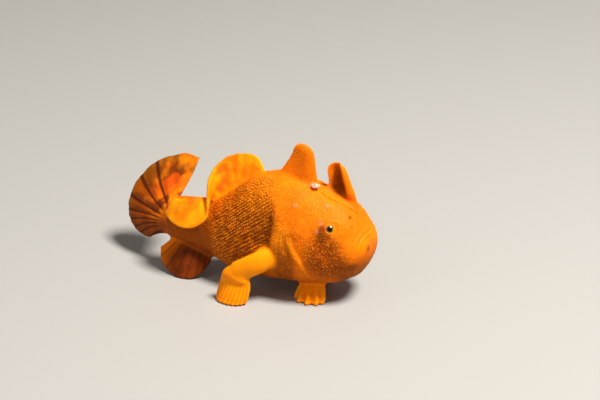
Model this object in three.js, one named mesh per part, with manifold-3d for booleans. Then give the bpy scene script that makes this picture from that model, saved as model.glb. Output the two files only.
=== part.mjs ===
// A young painted frogfish at life size, standing on its pectoral and pelvic fins.
// Millimetres. The fish faces +X, its left side is +Y, up is +Z and the floor is z = 0.
// The last lines set the origin on the floor, under the middle of the whole fish.
import * as THREE from "three";
import { ParametricGeometry } from "three/addons/geometries/ParametricGeometry.js";
import { mergeVertices } from "three/addons/utils/BufferGeometryUtils.js";
import Module from "manifold-3d";

const gap = 0.3; // between neighbouring pieces
const finThickness = 0.56;
const eyeRadius = 1.12;
const illiciumRadius = 0.27;
const sliver = 0.012;

// Where the body is parted: behind the gill covers, ahead of the tail, and along the mouth.
const headCutX = 4.2;
const tailCutX = -14.2;
const mouthFront = { x: 20.7, z: 15.4 };
const mouthCorner = { x: 17.6, z: 10.5 };

// The body's outline at named stations, from the snout to the tail: upper and lower edge
// of the middle plane as x, z, and half the width.
const stations = [
  { name: "snout tip", top: [21.15, 13.7], bottom: [21.15, 13.7], half: 0.0 },
  { name: "lips", top: [20.55, 15.7], bottom: [21.15, 11.5], half: 3.2 },
  { name: "muzzle", top: [19.3, 17.3], bottom: [20.55, 8.9], half: 4.8 },
  { name: "brow", top: [17.8, 19.6], bottom: [18.65, 6.25], half: 6.1 },
  { name: "eyes", top: [15.2, 21.6], bottom: [15.3, 4.25], half: 7.3 },
  { name: "cheek", top: [11.6, 23.0], bottom: [11.4, 3.3], half: 8.1 },
  { name: "gill cover", top: [7.0, 24.6], bottom: [6.6, 2.95], half: 8.5 },
  { name: "shoulder", top: [2.6, 25.4], bottom: [2.0, 2.75], half: 8.3 },
  { name: "flank", top: [-2.6, 24.4], bottom: [-3.0, 2.6], half: 6.9 },
  { name: "loin", top: [-7.6, 20.8], bottom: [-8.0, 3.1], half: 5.5 },
  { name: "vent", top: [-12.0, 17.5], bottom: [-12.4, 4.5], half: 4.1 },
  { name: "peduncle", top: [-16.6, 15.9], bottom: [-16.6, 5.9], half: 2.9 },
  { name: "caudal base", top: [-22.9, 14.7], bottom: [-22.9, 7.5], half: 1.9 },
];
const crown = 0.1; // how much narrower the back is than the belly
const squareness = 0.93; // below 1 the sections fill out towards a rounded box

const eyeCentre = new THREE.Vector3(13.8, 5.75, 17.3);
const eyeMound = { height: 0.5, reach: 2.1 };

const wasm = await Module();
wasm.setup();

const vec = (x, y, z) => new THREE.Vector3(x, y, z);
const lerp = THREE.MathUtils.lerp;

// A smooth curve through points given as [x, y, z].
const curveThrough = (points) =>
  new THREE.CatmullRomCurve3(points.map((p) => vec(...p)), false, "centripetal");

// Values given at even steps, read in between as a smooth function of 0 to 1.
function profile(values) {
  const steps = values.map((_, i) => i / (values.length - 1));
  const spline = new THREE.CubicInterpolant(steps, values, 1);
  return (t) => spline.evaluate(THREE.MathUtils.clamp(t, 0, 1))[0];
}

// Shared vertices merged and collapsed triangles dropped, so that a surface is closed.
function weld(geometry) {
  const bare = new THREE.BufferGeometry();
  bare.setAttribute("position", geometry.getAttribute("position"));
  bare.setIndex(geometry.index);
  const merged = mergeVertices(bare, 1e-3);
  const index = merged.index.array;
  const kept = [];
  for (let i = 0; i < index.length; i += 3) {
    const [a, b, c] = [index[i], index[i + 1], index[i + 2]];
    if (a !== b && b !== c && c !== a) kept.push(a, b, c);
  }
  merged.setIndex(kept);
  return merged;
}

function toSolid(geometry) {
  const welded = weld(geometry);
  const make = (triVerts) =>
    new wasm.Manifold(
      new wasm.Mesh({
        numProp: 3,
        vertProperties: new Float32Array(welded.attributes.position.array),
        triVerts: new Uint32Array(triVerts),
      }),
    );
  const index = Array.from(welded.index.array);
  const solid = make(index);
  return solid.volume() < 0 ? make(index.reverse()) : solid;
}

function toGeometry(solid) {
  const mesh = solid.getMesh();
  const positions = new Float32Array(mesh.numVert * 3);
  for (let i = 0; i < mesh.numVert; i++)
    positions.set(mesh.vertProperties.subarray(i * mesh.numProp, i * mesh.numProp + 3), i * 3);
  const geometry = new THREE.BufferGeometry();
  geometry.setAttribute("position", new THREE.BufferAttribute(positions, 3));
  geometry.setIndex(new THREE.BufferAttribute(new Uint32Array(mesh.triVerts), 1));
  return geometry;
}

// The largest of the bodies that a cut leaves.
const largest = (solid) => solid.decompose().sort((a, b) => b.volume() - a.volume())[0];

// A closed skin over rows of points: edgeAt(u, t) runs round in u, and both ends close
// onto middleAt(u, t).
function closedLoft(edgeAt, middleAt, around, along) {
  const place = (u, v, target) => {
    const row = Math.round(v * (along + 2));
    const t = THREE.MathUtils.clamp((row - 1) / along, 0, 1);
    const isEnd = row === 0 || row === along + 2;
    target.copy((isEnd ? middleAt : edgeAt)((Math.round(u * around) % around) / around, t));
  };
  return new ParametricGeometry(place, around, along + 2);
}

// A sheet of real thickness about the surface midAt(s, t), with blunt edges all round.
function sheet(midAt, thicknessAt, across, along) {
  const around = 2 * (across + 1);
  const step = 1e-3;
  const normalAt = (s, t) => {
    const s0 = Math.max(0, s - step);
    const t0 = Math.max(0, t - step);
    const ds = midAt(Math.min(1, s + step), t).sub(midAt(s0, t));
    const dt = midAt(s, Math.min(1, t + step)).sub(midAt(s, t0));
    return ds.cross(dt).normalize();
  };
  const sideOf = (u) => {
    const k = Math.round(u * around);
    return k <= across ? [k / across, 0.5] : [(2 * across + 1 - k) / across, -0.5];
  };
  const edgeAt = (u, t) => {
    const [s, side] = sideOf(u);
    return midAt(s, t).addScaledVector(normalAt(s, t), side * thicknessAt(s, t));
  };
  const middleAt = (u, t) => midAt(sideOf(u)[0], t);
  return toSolid(closedLoft(edgeAt, middleAt, around, along));
}

// A limb or rod along a curve, with an oval section of half sizes wide(t) and deep(t);
// wideDirection says which way the wide half lies.
function limb(curve, wide, deep, wideDirection, around, along) {
  const frameAt = (t) => {
    const centre = curve.getPoint(t);
    const ahead = curve.getTangent(t);
    const across = wideDirection(t).clone().addScaledVector(ahead, -wideDirection(t).dot(ahead));
    across.normalize();
    return { centre, across, up: ahead.clone().cross(across).normalize() };
  };
  const edgeAt = (u, t) => {
    const { centre, across, up } = frameAt(t);
    const angle = u * 2 * Math.PI;
    return centre
      .addScaledVector(across, wide(t) * Math.cos(angle))
      .addScaledVector(up, deep(t) * Math.sin(angle));
  };
  return toSolid(closedLoft(edgeAt, (u, t) => curve.getPoint(t), around, along));
}

const middleCurve = (edge) => curveThrough(stations.map((s) => [s[edge][0], 0, s[edge][1]]));
const backCurve = middleCurve("top");
const bellyCurve = middleCurve("bottom");
const halfWidth = profile(stations.map((s) => s.half));

// The middle plane's edge at a given x, for what grows along the back or the belly.
function edgePoint(curve, x) {
  let low = 0.15;
  let high = 1;
  for (let i = 0; i < 30; i++) {
    const mid = (low + high) / 2;
    if (curve.getPoint(mid).x > x) low = mid;
    else high = mid;
  }
  return curve.getPoint((low + high) / 2);
}

// The body as one loft; swell moves its surface outwards by that much.
function bodySolid(swell, around, along) {
  const signedPower = (value, power) => Math.sign(value) * Math.abs(value) ** power;
  const pointAt = (u, t) => {
    const top = backCurve.getPoint(t);
    const bottom = bellyCurve.getPoint(t);
    const angle = u * 2 * Math.PI;
    const rise = signedPower(Math.cos(angle), squareness);
    const side = signedPower(Math.sin(angle), squareness) * (1 - crown * Math.cos(angle));
    const centre = top.clone().add(bottom).multiplyScalar(0.5);
    const upHalf = top.clone().sub(bottom).multiplyScalar(0.5);
    const swollen = upHalf.clone().setLength(upHalf.length() + swell);
    const point = centre.addScaledVector(swollen, rise);
    point.y += (halfWidth(t) + swell) * side;
    return point.add(moundAt(point)).add(endShift(t));
  };
  const endShift = (t) => vec(swell * (t === 0) - swell * (t === 1), 0, 0);
  const middleAt = (u, t) =>
    backCurve.getPoint(t).add(bellyCurve.getPoint(t)).multiplyScalar(0.5).add(endShift(t));
  return toSolid(closedLoft(pointAt, middleAt, around, along));
}

// The low mound that each eye sits in.
function moundAt(point) {
  const from = vec(point.x - eyeCentre.x, (Math.abs(point.y) - eyeCentre.y) * 0.7, point.z - eyeCentre.z);
  const lift = eyeMound.height * Math.exp(-((from.length() / eyeMound.reach) ** 2));
  return vec(0.1 * lift, Math.sign(point.y) * lift, 0.35 * lift);
}

// Everything on the side of a plane that direction points to, from shift beyond the plane.
function beyond(point, direction, shift) {
  const size = 120;
  const block = new THREE.BoxGeometry(size, size, size);
  block.translate(0, 0, size / 2 + shift);
  block.applyQuaternion(new THREE.Quaternion().setFromUnitVectors(vec(0, 0, 1), direction));
  block.translate(point.x, point.y, point.z);
  return toSolid(block);
}

// A solid parted by a thin cut: the piece behind the plane and the piece beyond it.
function part(solid, point, direction) {
  const unit = direction.clone().normalize();
  const behind = solid.subtract(beyond(point, unit, -gap / 2));
  const ahead = solid.intersect(beyond(point, unit, gap / 2));
  return [largest(behind), largest(ahead)];
}

const body = bodySolid(0, 28, 30);
const bodyGap = bodySolid(gap, 22, 25);
const aboveFloor = beyond(vec(0, 0, 0), vec(0, 0, 1), 0);

// What grows from the body starts a gap's width outside it.
const rooted = (solid) => largest(solid.subtract(bodyGap));
const standing = (solid) => largest(solid.intersect(aboveFloor));

function ball(radius, centre, widthSegments, heightSegments) {
  const geometry = new THREE.SphereGeometry(radius, widthSegments, heightSegments);
  geometry.translate(centre.x, centre.y, centre.z);
  return toSolid(geometry);
}

const eyePlace = (side) => vec(eyeCentre.x, side * eyeCentre.y, eyeCentre.z);

// The head, the lower jaw, the trunk and the tail stalk.
function buildBody() {
  const [stalk, rest] = part(body, vec(tailCutX, 0, 0), vec(1, 0, 0));
  const [trunk, front] = part(rest, vec(headCutX, 0, 0), vec(1, 0, 0));
  const mouthRise = mouthFront.z - mouthCorner.z;
  const mouthRun = mouthFront.x - mouthCorner.x;
  const jawDirection = vec(mouthRise, 0, -mouthRun);
  const [skull, jaw] = part(front, vec(mouthCorner.x, 0, mouthCorner.z), jawDirection);
  const sockets = [-1, 1].map((side) => ball(eyeRadius + gap, eyePlace(side), 12, 8));
  const head = skull.subtract(sockets[0]).subtract(sockets[1]);
  return { head: largest(head), lower_jaw: jaw, trunk, caudal_peduncle: stalk };
}

// Falls from 1 to 0 like a rounded end, over the last stretch of 0 to 1.
function roundEnd(t, from) {
  return Math.sqrt(Math.max(0, 1 - (Math.max(0, t - from) / (1 - from)) ** 2));
}

// A fleshy lobe on the back, thick in front and thinner behind. centre runs from the base to
// the tip, chord and thick are its half sizes, and curl bows its middle to the left.
function dorsalLobe({ centre, chord, thick, rearShare, curl }) {
  const curve = curveThrough(centre);
  const halfChord = profile(chord);
  const halfThick = profile(thick);
  const sectionAt = (u, v) => {
    const t = Math.sin((v * Math.PI) / 2);
    const ahead = Math.cos(u * 2 * Math.PI);
    const end = roundEnd(t, 0.78);
    const point = curve.getPoint(t);
    point.x += halfChord(t) * end * ahead;
    point.y += halfThick(t) * end * Math.sin(u * 2 * Math.PI) * lerp(rearShare, 1, (ahead + 1) / 2);
    point.y += curl * end * (1 - ahead * ahead) * (1 - 0.5 * t);
    return point;
  };
  const middleAt = (u, v) => curve.getPoint(Math.sin((v * Math.PI) / 2));
  return rooted(toSolid(closedLoft(sectionAt, middleAt, 16, 8)));
}

// The second dorsal spine leans back and is hollowed on its right side.
const secondSpine = () =>
  dorsalLobe({
    centre: [
      [14.4, 0.1, 20.4],
      [14.0, 0.0, 23.0],
      [13.5, -0.1, 25.6],
      [13.2, -0.1, 27.6],
      [12.9, 0.0, 28.9],
    ],
    chord: [3.5, 3.0, 2.5, 2.1, 1.6],
    thick: [1.3, 1.1, 0.95, 0.85, 0.75],
    rearShare: 0.45,
    curl: 0.5,
  });

// The third dorsal spine is a thick triangular hump.
const thirdSpine = () =>
  dorsalLobe({
    centre: [
      [4.6, 0.0, 23.4],
      [5.3, 0.0, 25.8],
      [6.0, 0.0, 28.1],
      [6.35, 0.0, 30.2],
      [6.0, 0.0, 32.1],
    ],
    chord: [5.2, 3.9, 3.0, 2.3, 1.9],
    thick: [2.2, 1.8, 1.45, 1.2, 1.0],
    rearShare: 0.6,
    curl: 0.0,
  });

// The soft dorsal fin stands up at the front, and its last third flops over the right side.
function softDorsalFin() {
  const baseFrontX = -2.2;
  const baseRearX = -19.9;
  const margin = curveThrough([
    [-1.7, 0.1, 24.5],
    [-2.9, 0.8, 26.7],
    [-4.4, 1.2, 27.5],
    [-6.6, 1.4, 27.5],
    [-9.0, 1.3, 26.9],
    [-11.3, 0.9, 25.5],
    [-13.2, -0.9, 22.7],
    [-12.7, -3.7, 19.2],
    [-12.2, -5.2, 15.2],
    [-14.8, -5.3, 12.7],
    [-17.9, -4.9, 12.0],
    [-20.6, -3.9, 12.5],
    [-22.6, -2.4, 13.6],
  ]);
  const bow = profile([0, 0.1, 0.1, 0.1, 0.2, 1.5, 3.2, 3.5, 2.6]);
  const base = (s) => edgePoint(backCurve, lerp(baseFrontX, baseRearX, s)).add(vec(0, 0, -0.5));
  const midAt = (s, t) => {
    const point = base(s).lerp(margin.getPoint(s), t);
    const lift = bow(s) * Math.sin(Math.PI * Math.sqrt(t));
    return point.add(vec(0, -0.35 * lift, 0.9 * lift));
  };
  const thicknessAt = (s, t) => lerp(finThickness + 0.25, finThickness, t);
  return rooted(sheet(midAt, thicknessAt, 27, 5));
}

// The tail fin is cupped: its rays leave the stalk backwards and curl to the left and up.
function caudalFin() {
  const baseX = -22.7;
  const margin = curveThrough([
    [-19.1, 8.1, 21.9],
    [-22.3, 8.9, 22.1],
    [-25.7, 9.0, 21.0],
    [-28.8, 8.6, 19.6],
    [-31.4, 8.0, 17.2],
    [-33.5, 7.0, 14.2],
    [-34.4, 5.6, 10.6],
    [-33.6, 4.2, 7.5],
    [-31.2, 3.0, 5.4],
    [-28.2, 2.1, 4.9],
  ]);
  const reach = {
    x: profile([2.3, -0.9, -3.8, -5.2, -5.6, -5.2, -3.4]),
    y: profile([3.6, 2.9, 2.1, 1.6, 1.3, 1.1, 0.7]),
    z: profile([0.8, 0.5, 0.2, 0.0, -0.3, -0.6, -1.0]),
  };
  const midAt = (s, t) => {
    const root = vec(baseX, 0, lerp(14.4, 7.8, s));
    const bend = root.clone().add(vec(reach.x(s), reach.y(s), reach.z(s)));
    return new THREE.QuadraticBezierCurve3(root, bend, margin.getPoint(s)).getPoint(t);
  };
  const thicknessAt = (s, t) => lerp(1.5, finThickness, Math.min(1, t * 2.5));
  return rooted(sheet(midAt, thicknessAt, 20, 5));
}

// The anal fin leans to the right and touches the floor with its lowest edge.
function analFin() {
  const margin = curveThrough([
    [-13.5, -1.1, 3.3],
    [-14.6, -2.6, 1.4],
    [-16.4, -3.8, 0.3],
    [-18.8, -4.2, 0.1],
    [-21.7, -3.2, 0.7],
    [-24.0, -2.0, 2.6],
    [-24.3, -1.0, 5.0],
  ]);
  const base = (s) => edgePoint(bellyCurve, lerp(-12.6, -21.4, s)).add(vec(0, 0, 0.6));
  const midAt = (s, t) => {
    const point = base(s).lerp(margin.getPoint(s), t);
    return point.add(vec(0, -0.5 * Math.sin(Math.PI * t), 0));
  };
  const thicknessAt = (s, t) => lerp(1.1, finThickness, t);
  return standing(rooted(sheet(midAt, thicknessAt, 13, 5)));
}

// A fan of stout rays on the floor. Its palm runs from rearWrist to frontWrist, its rays
// drop from there and spread to the toes, and the thin web between them is drawn in.
function footFan(fan) {
  const toes = curveThrough(fan.toes);
  const rayAt = (s, reach) => {
    const root = vec(...fan.rearWrist).lerp(vec(...fan.frontWrist), lerp(0.06, 0.94, s));
    const toe = toes.getPoint(s);
    const tip = root.clone().lerp(toe, reach);
    tip.z = toe.z;
    const ankle = root.clone().lerp(tip, 0.72);
    ankle.z = lerp(root.z, tip.z, fan.drop);
    return new THREE.QuadraticBezierCurve3(root, ankle, tip);
  };
  const webs = fan.rays - 1;
  const webAt = (s, t) => rayAt(s, 1 - fan.notch * Math.sin(Math.PI * webs * s) ** 2).getPoint(t);
  let foot = sheet(webAt, () => finThickness, webs * 2, 4);
  for (let k = 0; k < fan.rays; k++) {
    const radius = (t) => lerp(fan.rayRadius, 0.3, t) * roundEnd(t, 0.9);
    const upright = () => vec(0.15, 0.1, 1);
    foot = foot.add(limb(rayAt(k / webs, 1), radius, radius, upright, 6, 3));
  }
  const palmLine = curveThrough([fan.rearWrist, fan.frontWrist]);
  const palmRadius = (t) => fan.palmRadius * roundEnd(Math.abs(2 * t - 1), 0.3);
  return foot.add(limb(palmLine, palmRadius, palmRadius, () => vec(0, 0, 1), 10, 6));
}

// The pectoral fin is an arm and a hand of rays, parted at the wrist. ahead moves the hand
// forward.
function pectoral(side, ahead) {
  const onSide = ([x, y, z]) => [x + ahead, y * side, z];
  const shoulder = [3.0, 6.2 * side, 10.6];
  const route = curveThrough([shoulder, [0.4 + ahead / 3, 8.9 * side, 9.4], onSide([-4.0, 9.8, 6.9])]);
  const wide = profile([2.8, 2.5, 2.4, 2.35]);
  const deep = profile([2.3, 1.7, 1.5, 1.3]);
  const wideDirection = (t) => vec(lerp(0.1, -0.78, t), 0.1 * side, lerp(1.0, 0.62, t)).normalize();
  const arm = limb(route, wide, deep, wideDirection, 16, 6);
  const hand = footFan({
    rearWrist: onSide([-6.8, 9.8, 6.6]),
    frontWrist: onSide([-1.3, 9.7, 5.0]),
    toes: [
      [-8.8, 9.2, 0.2],
      [-7.9, 10.9, 0.2],
      [-5.9, 11.6, 0.2],
      [-3.8, 11.5, 0.2],
      [-2.3, 10.3, 0.2],
    ].map(onSide),
    rays: 10,
    rayRadius: 0.62,
    palmRadius: 1.35,
    notch: 0.15,
    drop: 0.86,
  });
  const whole = standing(rooted(arm.add(hand)));
  const wrist = vec(...onSide([-3.9, 9.8, 5.9]));
  return part(whole, wrist, vec(-0.45, 0.1 * side, -0.89));
}

// The pelvic fin is a short foot under the throat.
function pelvicFin(side, ahead) {
  const onSide = ([x, y, z]) => [x + ahead, y * side, z];
  const foot = footFan({
    rearWrist: onSide([7.8, 2.6, 4.2]),
    frontWrist: onSide([11.4, 2.8, 4.5]),
    toes: [
      [6.0, 4.4, 0.2],
      [7.2, 5.9, 0.2],
      [9.2, 6.4, 0.2],
      [11.2, 6.0, 0.2],
      [12.4, 4.8, 0.2],
    ].map(onSide),
    rays: 5,
    rayRadius: 0.75,
    palmRadius: 1.3,
    notch: 0.2,
    drop: 0.75,
  });
  return standing(rooted(foot));
}

// The fishing rod lies back beside the second dorsal spine, with its lure behind it.
function lure() {
  const rod = curveThrough([
    [18.5, -0.4, 19.3],
    [17.5, -1.4, 20.6],
    [15.5, -2.1, 22.0],
    [13.1, -2.3, 22.9],
    [10.9, -1.9, 23.8],
  ]);
  const radius = () => illiciumRadius;
  const illicium = rooted(limb(rod, radius, radius, () => vec(0, 0, 1), 8, 12));
  const bait = new THREE.SphereGeometry(1, 12, 8);
  bait.scale(0.95, 0.75, 0.62);
  bait.translate(9.5, -1.7, 24.1);
  return { illicium, esca: rooted(toSolid(bait)) };
}

const skinColour = 0xf07c0c;
const finColour = 0xf59a14;

function material(colour, roughness) {
  return new THREE.MeshStandardMaterial({ color: colour, roughness, metalness: 0 });
}

const frogfish = new THREE.Group();

// The slivers that cuts leave are collapsed, within a hundredth of a millimetre or so.
function addMesh(name, solid, colour, roughness = 0.6) {
  const clean = largest(toSolid(toGeometry(solid.asOriginal().simplify(sliver))));
  const mesh = new THREE.Mesh(toGeometry(clean), material(colour, roughness));
  mesh.name = name;
  frogfish.add(mesh);
}

for (const [name, solid] of Object.entries(buildBody())) addMesh(name, solid, skinColour);
addMesh("dorsal_spine_second", secondSpine(), skinColour);
addMesh("dorsal_spine_third", thirdSpine(), skinColour);
addMesh("soft_dorsal_fin", softDorsalFin(), finColour);
addMesh("caudal_fin", caudalFin(), finColour);
addMesh("anal_fin", analFin(), 0xa8400c);

const fishingRod = lure();
addMesh("illicium", fishingRod.illicium, skinColour);
addMesh("esca", fishingRod.esca, 0xf2b9a6, 0.7);

for (const [sideName, side, handAhead, footAhead] of [
  ["right", -1, 0, 0],
  ["left", 1, 1.6, -1.6],
]) {
  const [arm, hand] = pectoral(side, handAhead);
  addMesh(`pectoral_arm_${sideName}`, arm, skinColour);
  addMesh(`pectoral_hand_${sideName}`, hand, finColour);
  addMesh(`pelvic_fin_${sideName}`, pelvicFin(side, footAhead), skinColour);
  addMesh(`eye_${sideName}`, ball(eyeRadius, eyePlace(side), 14, 10), 0x2a1606, 0.15);
}

const middle = new THREE.Box3().setFromObject(frogfish, true).getCenter(vec(0, 0, 0));
frogfish.position.set(-middle.x, -middle.y, 0);

export default frogfish;
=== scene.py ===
# A young painted frogfish at life size: one soft skin with its fins, a coat of prickles,
# two eyes and a fishing rod with its lure. Metres. It faces +X and stands on z = 0.
import math

import bmesh
import bpy
import numpy as np
from mathutils import Matrix, Vector
from mathutils.bvhtree import BVHTree
from mathutils.kdtree import KDTree


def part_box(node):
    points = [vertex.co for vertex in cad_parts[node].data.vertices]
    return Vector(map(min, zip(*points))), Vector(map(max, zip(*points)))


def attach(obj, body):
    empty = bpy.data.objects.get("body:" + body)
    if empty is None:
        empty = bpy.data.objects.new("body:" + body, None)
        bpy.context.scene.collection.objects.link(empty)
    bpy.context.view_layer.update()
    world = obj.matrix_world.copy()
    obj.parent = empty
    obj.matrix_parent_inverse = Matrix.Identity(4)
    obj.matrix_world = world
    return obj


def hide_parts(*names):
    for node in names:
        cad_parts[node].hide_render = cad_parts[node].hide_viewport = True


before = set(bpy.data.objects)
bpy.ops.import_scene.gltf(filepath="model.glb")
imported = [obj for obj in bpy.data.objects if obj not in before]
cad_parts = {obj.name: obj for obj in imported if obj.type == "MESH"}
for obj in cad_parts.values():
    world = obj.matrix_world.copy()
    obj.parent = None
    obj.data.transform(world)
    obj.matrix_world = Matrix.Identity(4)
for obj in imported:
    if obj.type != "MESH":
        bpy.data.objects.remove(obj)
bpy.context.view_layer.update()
mm = 0.001
shiftX = 6.666 * mm  # the frame's x of a point is its x on the fish plus this
seed = 11


def addObject(name, mesh):
    piece = bpy.data.objects.new(name, mesh)
    bpy.context.scene.collection.objects.link(piece)
    return piece


# What bmesh has built, as a mesh.
def finishedMesh(shape, name):
    mesh = bpy.data.meshes.new(name)
    shape.to_mesh(mesh)
    shape.free()
    return mesh


def readPoints(mesh):
    points = np.empty(len(mesh.vertices) * 3)
    mesh.vertices.foreach_get("co", points)
    return points.reshape(-1, 3)


def writePoints(mesh, points):
    mesh.vertices.foreach_set("co", points.ravel())
    mesh.update()


def readNormals(mesh):
    normals = np.empty(len(mesh.vertices) * 3, np.float32)
    mesh.vertex_normals.foreach_get("vector", normals)
    return normals.reshape(-1, 3).astype(float)


def readEdges(mesh):
    edges = np.empty(len(mesh.edges) * 2, np.int32)
    mesh.edges.foreach_get("vertices", edges)
    return edges.reshape(-1, 2)


def smoothstep(low, high, value):
    share = np.clip((value - low) / (high - low), 0, 1)
    return share * share * (3 - 2 * share)


def bump(distance, width):
    return np.exp(-((distance / width) ** 2))


def unit(vectors):
    return vectors / np.maximum(np.linalg.norm(vectors, axis=-1, keepdims=True), 1e-12)


# Each value moves towards the mean of its neighbours, by strength and by its own weight.
def relax(values, edges, rounds, weight=1.0, strength=0.5):
    count = len(values)
    values = values.reshape(count, -1).copy()
    share = np.broadcast_to(np.asarray(weight, float).reshape(-1, 1), (count, 1)) * strength
    near = np.maximum(np.bincount(edges.ravel(), minlength=count), 1)
    first, second = edges[:, 0], edges[:, 1]
    for _ in range(rounds):
        for k in range(values.shape[1]):
            column = values[:, k]
            total = np.bincount(first, column[second], count)
            total = total + np.bincount(second, column[first], count)
            values[:, k] = column + (total / near - column) * share[:, 0]
    return values


# A smooth curve through points, read at t from 0 to 1, evenly by point number.
def curveThrough(points, t):
    points = np.array(points, float)
    if points.ndim == 1:
        points = points[:, None]
    t = np.atleast_1d(t)
    ends = np.vstack([2 * points[0] - points[1], points, 2 * points[-1] - points[-2]])
    place = np.clip(t, 0, 1) * (len(points) - 1)
    first = np.minimum(place.astype(int), len(points) - 2)
    share = (place - first)[:, None]
    p0, p1, p2, p3 = (ends[first + k] for k in range(4))
    steps = [np.maximum(np.linalg.norm(b - a, axis=1, keepdims=True) ** 0.5, 1e-6)
             for a, b in ((p0, p1), (p1, p2), (p2, p3))]
    t1 = ((p1 - p0) / steps[0] - (p2 - p0) / (steps[0] + steps[1]) + (p2 - p1) / steps[1]) * steps[1]
    t2 = ((p2 - p1) / steps[1] - (p3 - p1) / (steps[1] + steps[2]) + (p3 - p2) / steps[2]) * steps[1]
    return (p1 + share * t1 + share**2 * (3 * p2 - 3 * p1 - 2 * t1 - t2)
            + share**3 * (2 * p1 - 2 * p2 + t1 + t2))


# Millimetres in the fish's own lengthwise measure, made metres in the frame.
def place(points):
    return np.array(points, float) * mm + np.array([shiftX, 0, 0])


# Distance of each point to a spot on the fish; a direction with a smaller weight counts less.
def gapTo(points, spot, weights=(1, 1, 1)):
    return np.linalg.norm((points - place(spot)) * np.array(weights), axis=1)


# The same in half sizes of an ellipsoid round the spot.
def gapIn(points, spot, halfSizes):
    return np.linalg.norm((points - place(spot)) / np.array(halfSizes), axis=1) / mm


# Distance from each point to a polyline, and how far along it the nearest point is.
def lineDistance(points, line):
    best = np.full(len(points), 1e9)
    along = np.zeros(len(points))
    lengths = np.linalg.norm(np.diff(line, axis=0), axis=1)
    start = np.concatenate([[0], np.cumsum(lengths)])
    for k in range(len(line) - 1):
        step = line[k + 1] - line[k]
        share = np.clip((points - line[k]) @ step / (step @ step), 0, 1)
        gap = np.linalg.norm(points - line[k] - share[:, None] * step, axis=1)
        closer = gap < best
        best[closer] = gap[closer]
        along[closer] = (start[k] + share[closer] * lengths[k]) / start[-1]
    return best, along


# The skin

skinPlan = {
    "voxel": 0.272 * mm,
    "swell": 0.18 * mm,  # closes the thin cuts between the solids
    "mostSwell": 1.6,  # times that, at sharp edges
    "weld": 0.001 * mm,
    "coatDepth": 0.16 * mm,  # the skin lies this deep under the solids' surface on the body
    "finDepth": 0.06 * mm,
    "bodyRounds": 26,
    "finRounds": 8,
    "handRounds": 4,
    "wrist": (3.0, 1.45, 1.85),  # half sizes of the flesh between arm and hand
    "wristTilt": -0.68,
    "wristRounds": 16,
    "wristReach": 2.2 * mm,
    "spineRounds": 60,
    "spineReach": 1.5 * mm,
    "regainRounds": 12,
    "mostRegain": 0.3 * mm,
}
fleshGroups = {
    "body": ["head", "lower_jaw", "trunk", "caudal_peduncle"],
    "spines": ["dorsal_spine_second", "dorsal_spine_third"],
    "dorsal": ["soft_dorsal_fin"],
    "caudal": ["caudal_fin"],
    "anal": ["anal_fin"],
    "arms": ["pectoral_arm_right", "pectoral_arm_left"],
    "hands": ["pectoral_hand_right", "pectoral_hand_left"],
    "feet": ["pelvic_fin_right", "pelvic_fin_left"],
}
fleshNodes = [name for names in fleshGroups.values() for name in names]

eyePlan = {
    "axis": (0.36, 0.83, 0.43),
    "filling": 1.36 * mm,  # radius of the flesh behind the ball
    "fillingDepth": 0.1 * mm,
    "opening": 0.72 * mm,  # the lids' edge, from the eye's axis
    "flatness": 1.1,
    "lidWidth": 0.34 * mm,
    "lidHeight": 0.17 * mm,
    "lidMiddle": 0.2 * mm,
    "lidLevel": 0.62 * mm,  # at least this far out from the ball's middle
    "lidSink": 0.1 * mm,
    "edge": (0.12 * mm, 0.04 * mm),
    "socketDepth": 0.5 * mm,
    "cheekRing": (1.9 * mm, 0.15 * mm),  # where the skin's own level is read
    "fade": (1.2 * mm, 2.0 * mm),
    "reach": 3 * mm,
}


def eyeFrame(side):
    low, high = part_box("eye_left" if side > 0 else "eye_right")
    forward, outward, upward = eyePlan["axis"]
    return np.array((low + high) / 2), unit(np.array([forward, side * outward, upward]))


eyeRadius = (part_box("eye_right")[1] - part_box("eye_right")[0]).x / 2


def mergedCopy(names, swell):
    shape = bmesh.new()
    for name in names:
        one = bmesh.new()
        one.from_mesh(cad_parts[name].data)
        bmesh.ops.remove_doubles(one, verts=one.verts, dist=skinPlan["weld"])
        one.normal_update()
        moves = [v.normal * swell * min(v.calc_shell_factor(), skinPlan["mostSwell"]) for v in one.verts]
        for v, move in zip(one.verts, moves):
            v.co += move
        copy = finishedMesh(one, name + "_copy")
        shape.from_mesh(copy)
        bpy.data.meshes.remove(copy)
    return shape


def remeshed():
    flesh = mergedCopy(fleshNodes, skinPlan["swell"])
    for side in (-1, 1):
        centre, axis = eyeFrame(side)
        filling = Matrix.Translation(Vector(centre - axis * eyePlan["fillingDepth"]))
        bmesh.ops.create_icosphere(flesh, subdivisions=3, radius=eyePlan["filling"], matrix=filling)
    for wrist in marks["wrists"]:
        along, deep, wide = (half * mm for half in skinPlan["wrist"])
        turn = Matrix.Rotation(skinPlan["wristTilt"], 4, "Y")
        filling = Matrix.Translation(Vector(place(wrist))) @ turn @ Matrix.Diagonal((along, deep, wide, 1))
        bmesh.ops.create_icosphere(flesh, subdivisions=3, radius=1, matrix=filling)
    mesh = finishedMesh(flesh, "flesh")
    source = addObject("flesh", mesh)
    voxels = source.modifiers.new("voxels", "REMESH")
    voxels.mode = "VOXEL"
    voxels.voxel_size = skinPlan["voxel"]
    graph = bpy.context.evaluated_depsgraph_get()
    skin = bpy.data.meshes.new_from_object(source.evaluated_get(graph))
    bpy.data.objects.remove(source)
    bpy.data.meshes.remove(mesh)
    skin.name = "frogfish_skin"
    return skin


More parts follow.
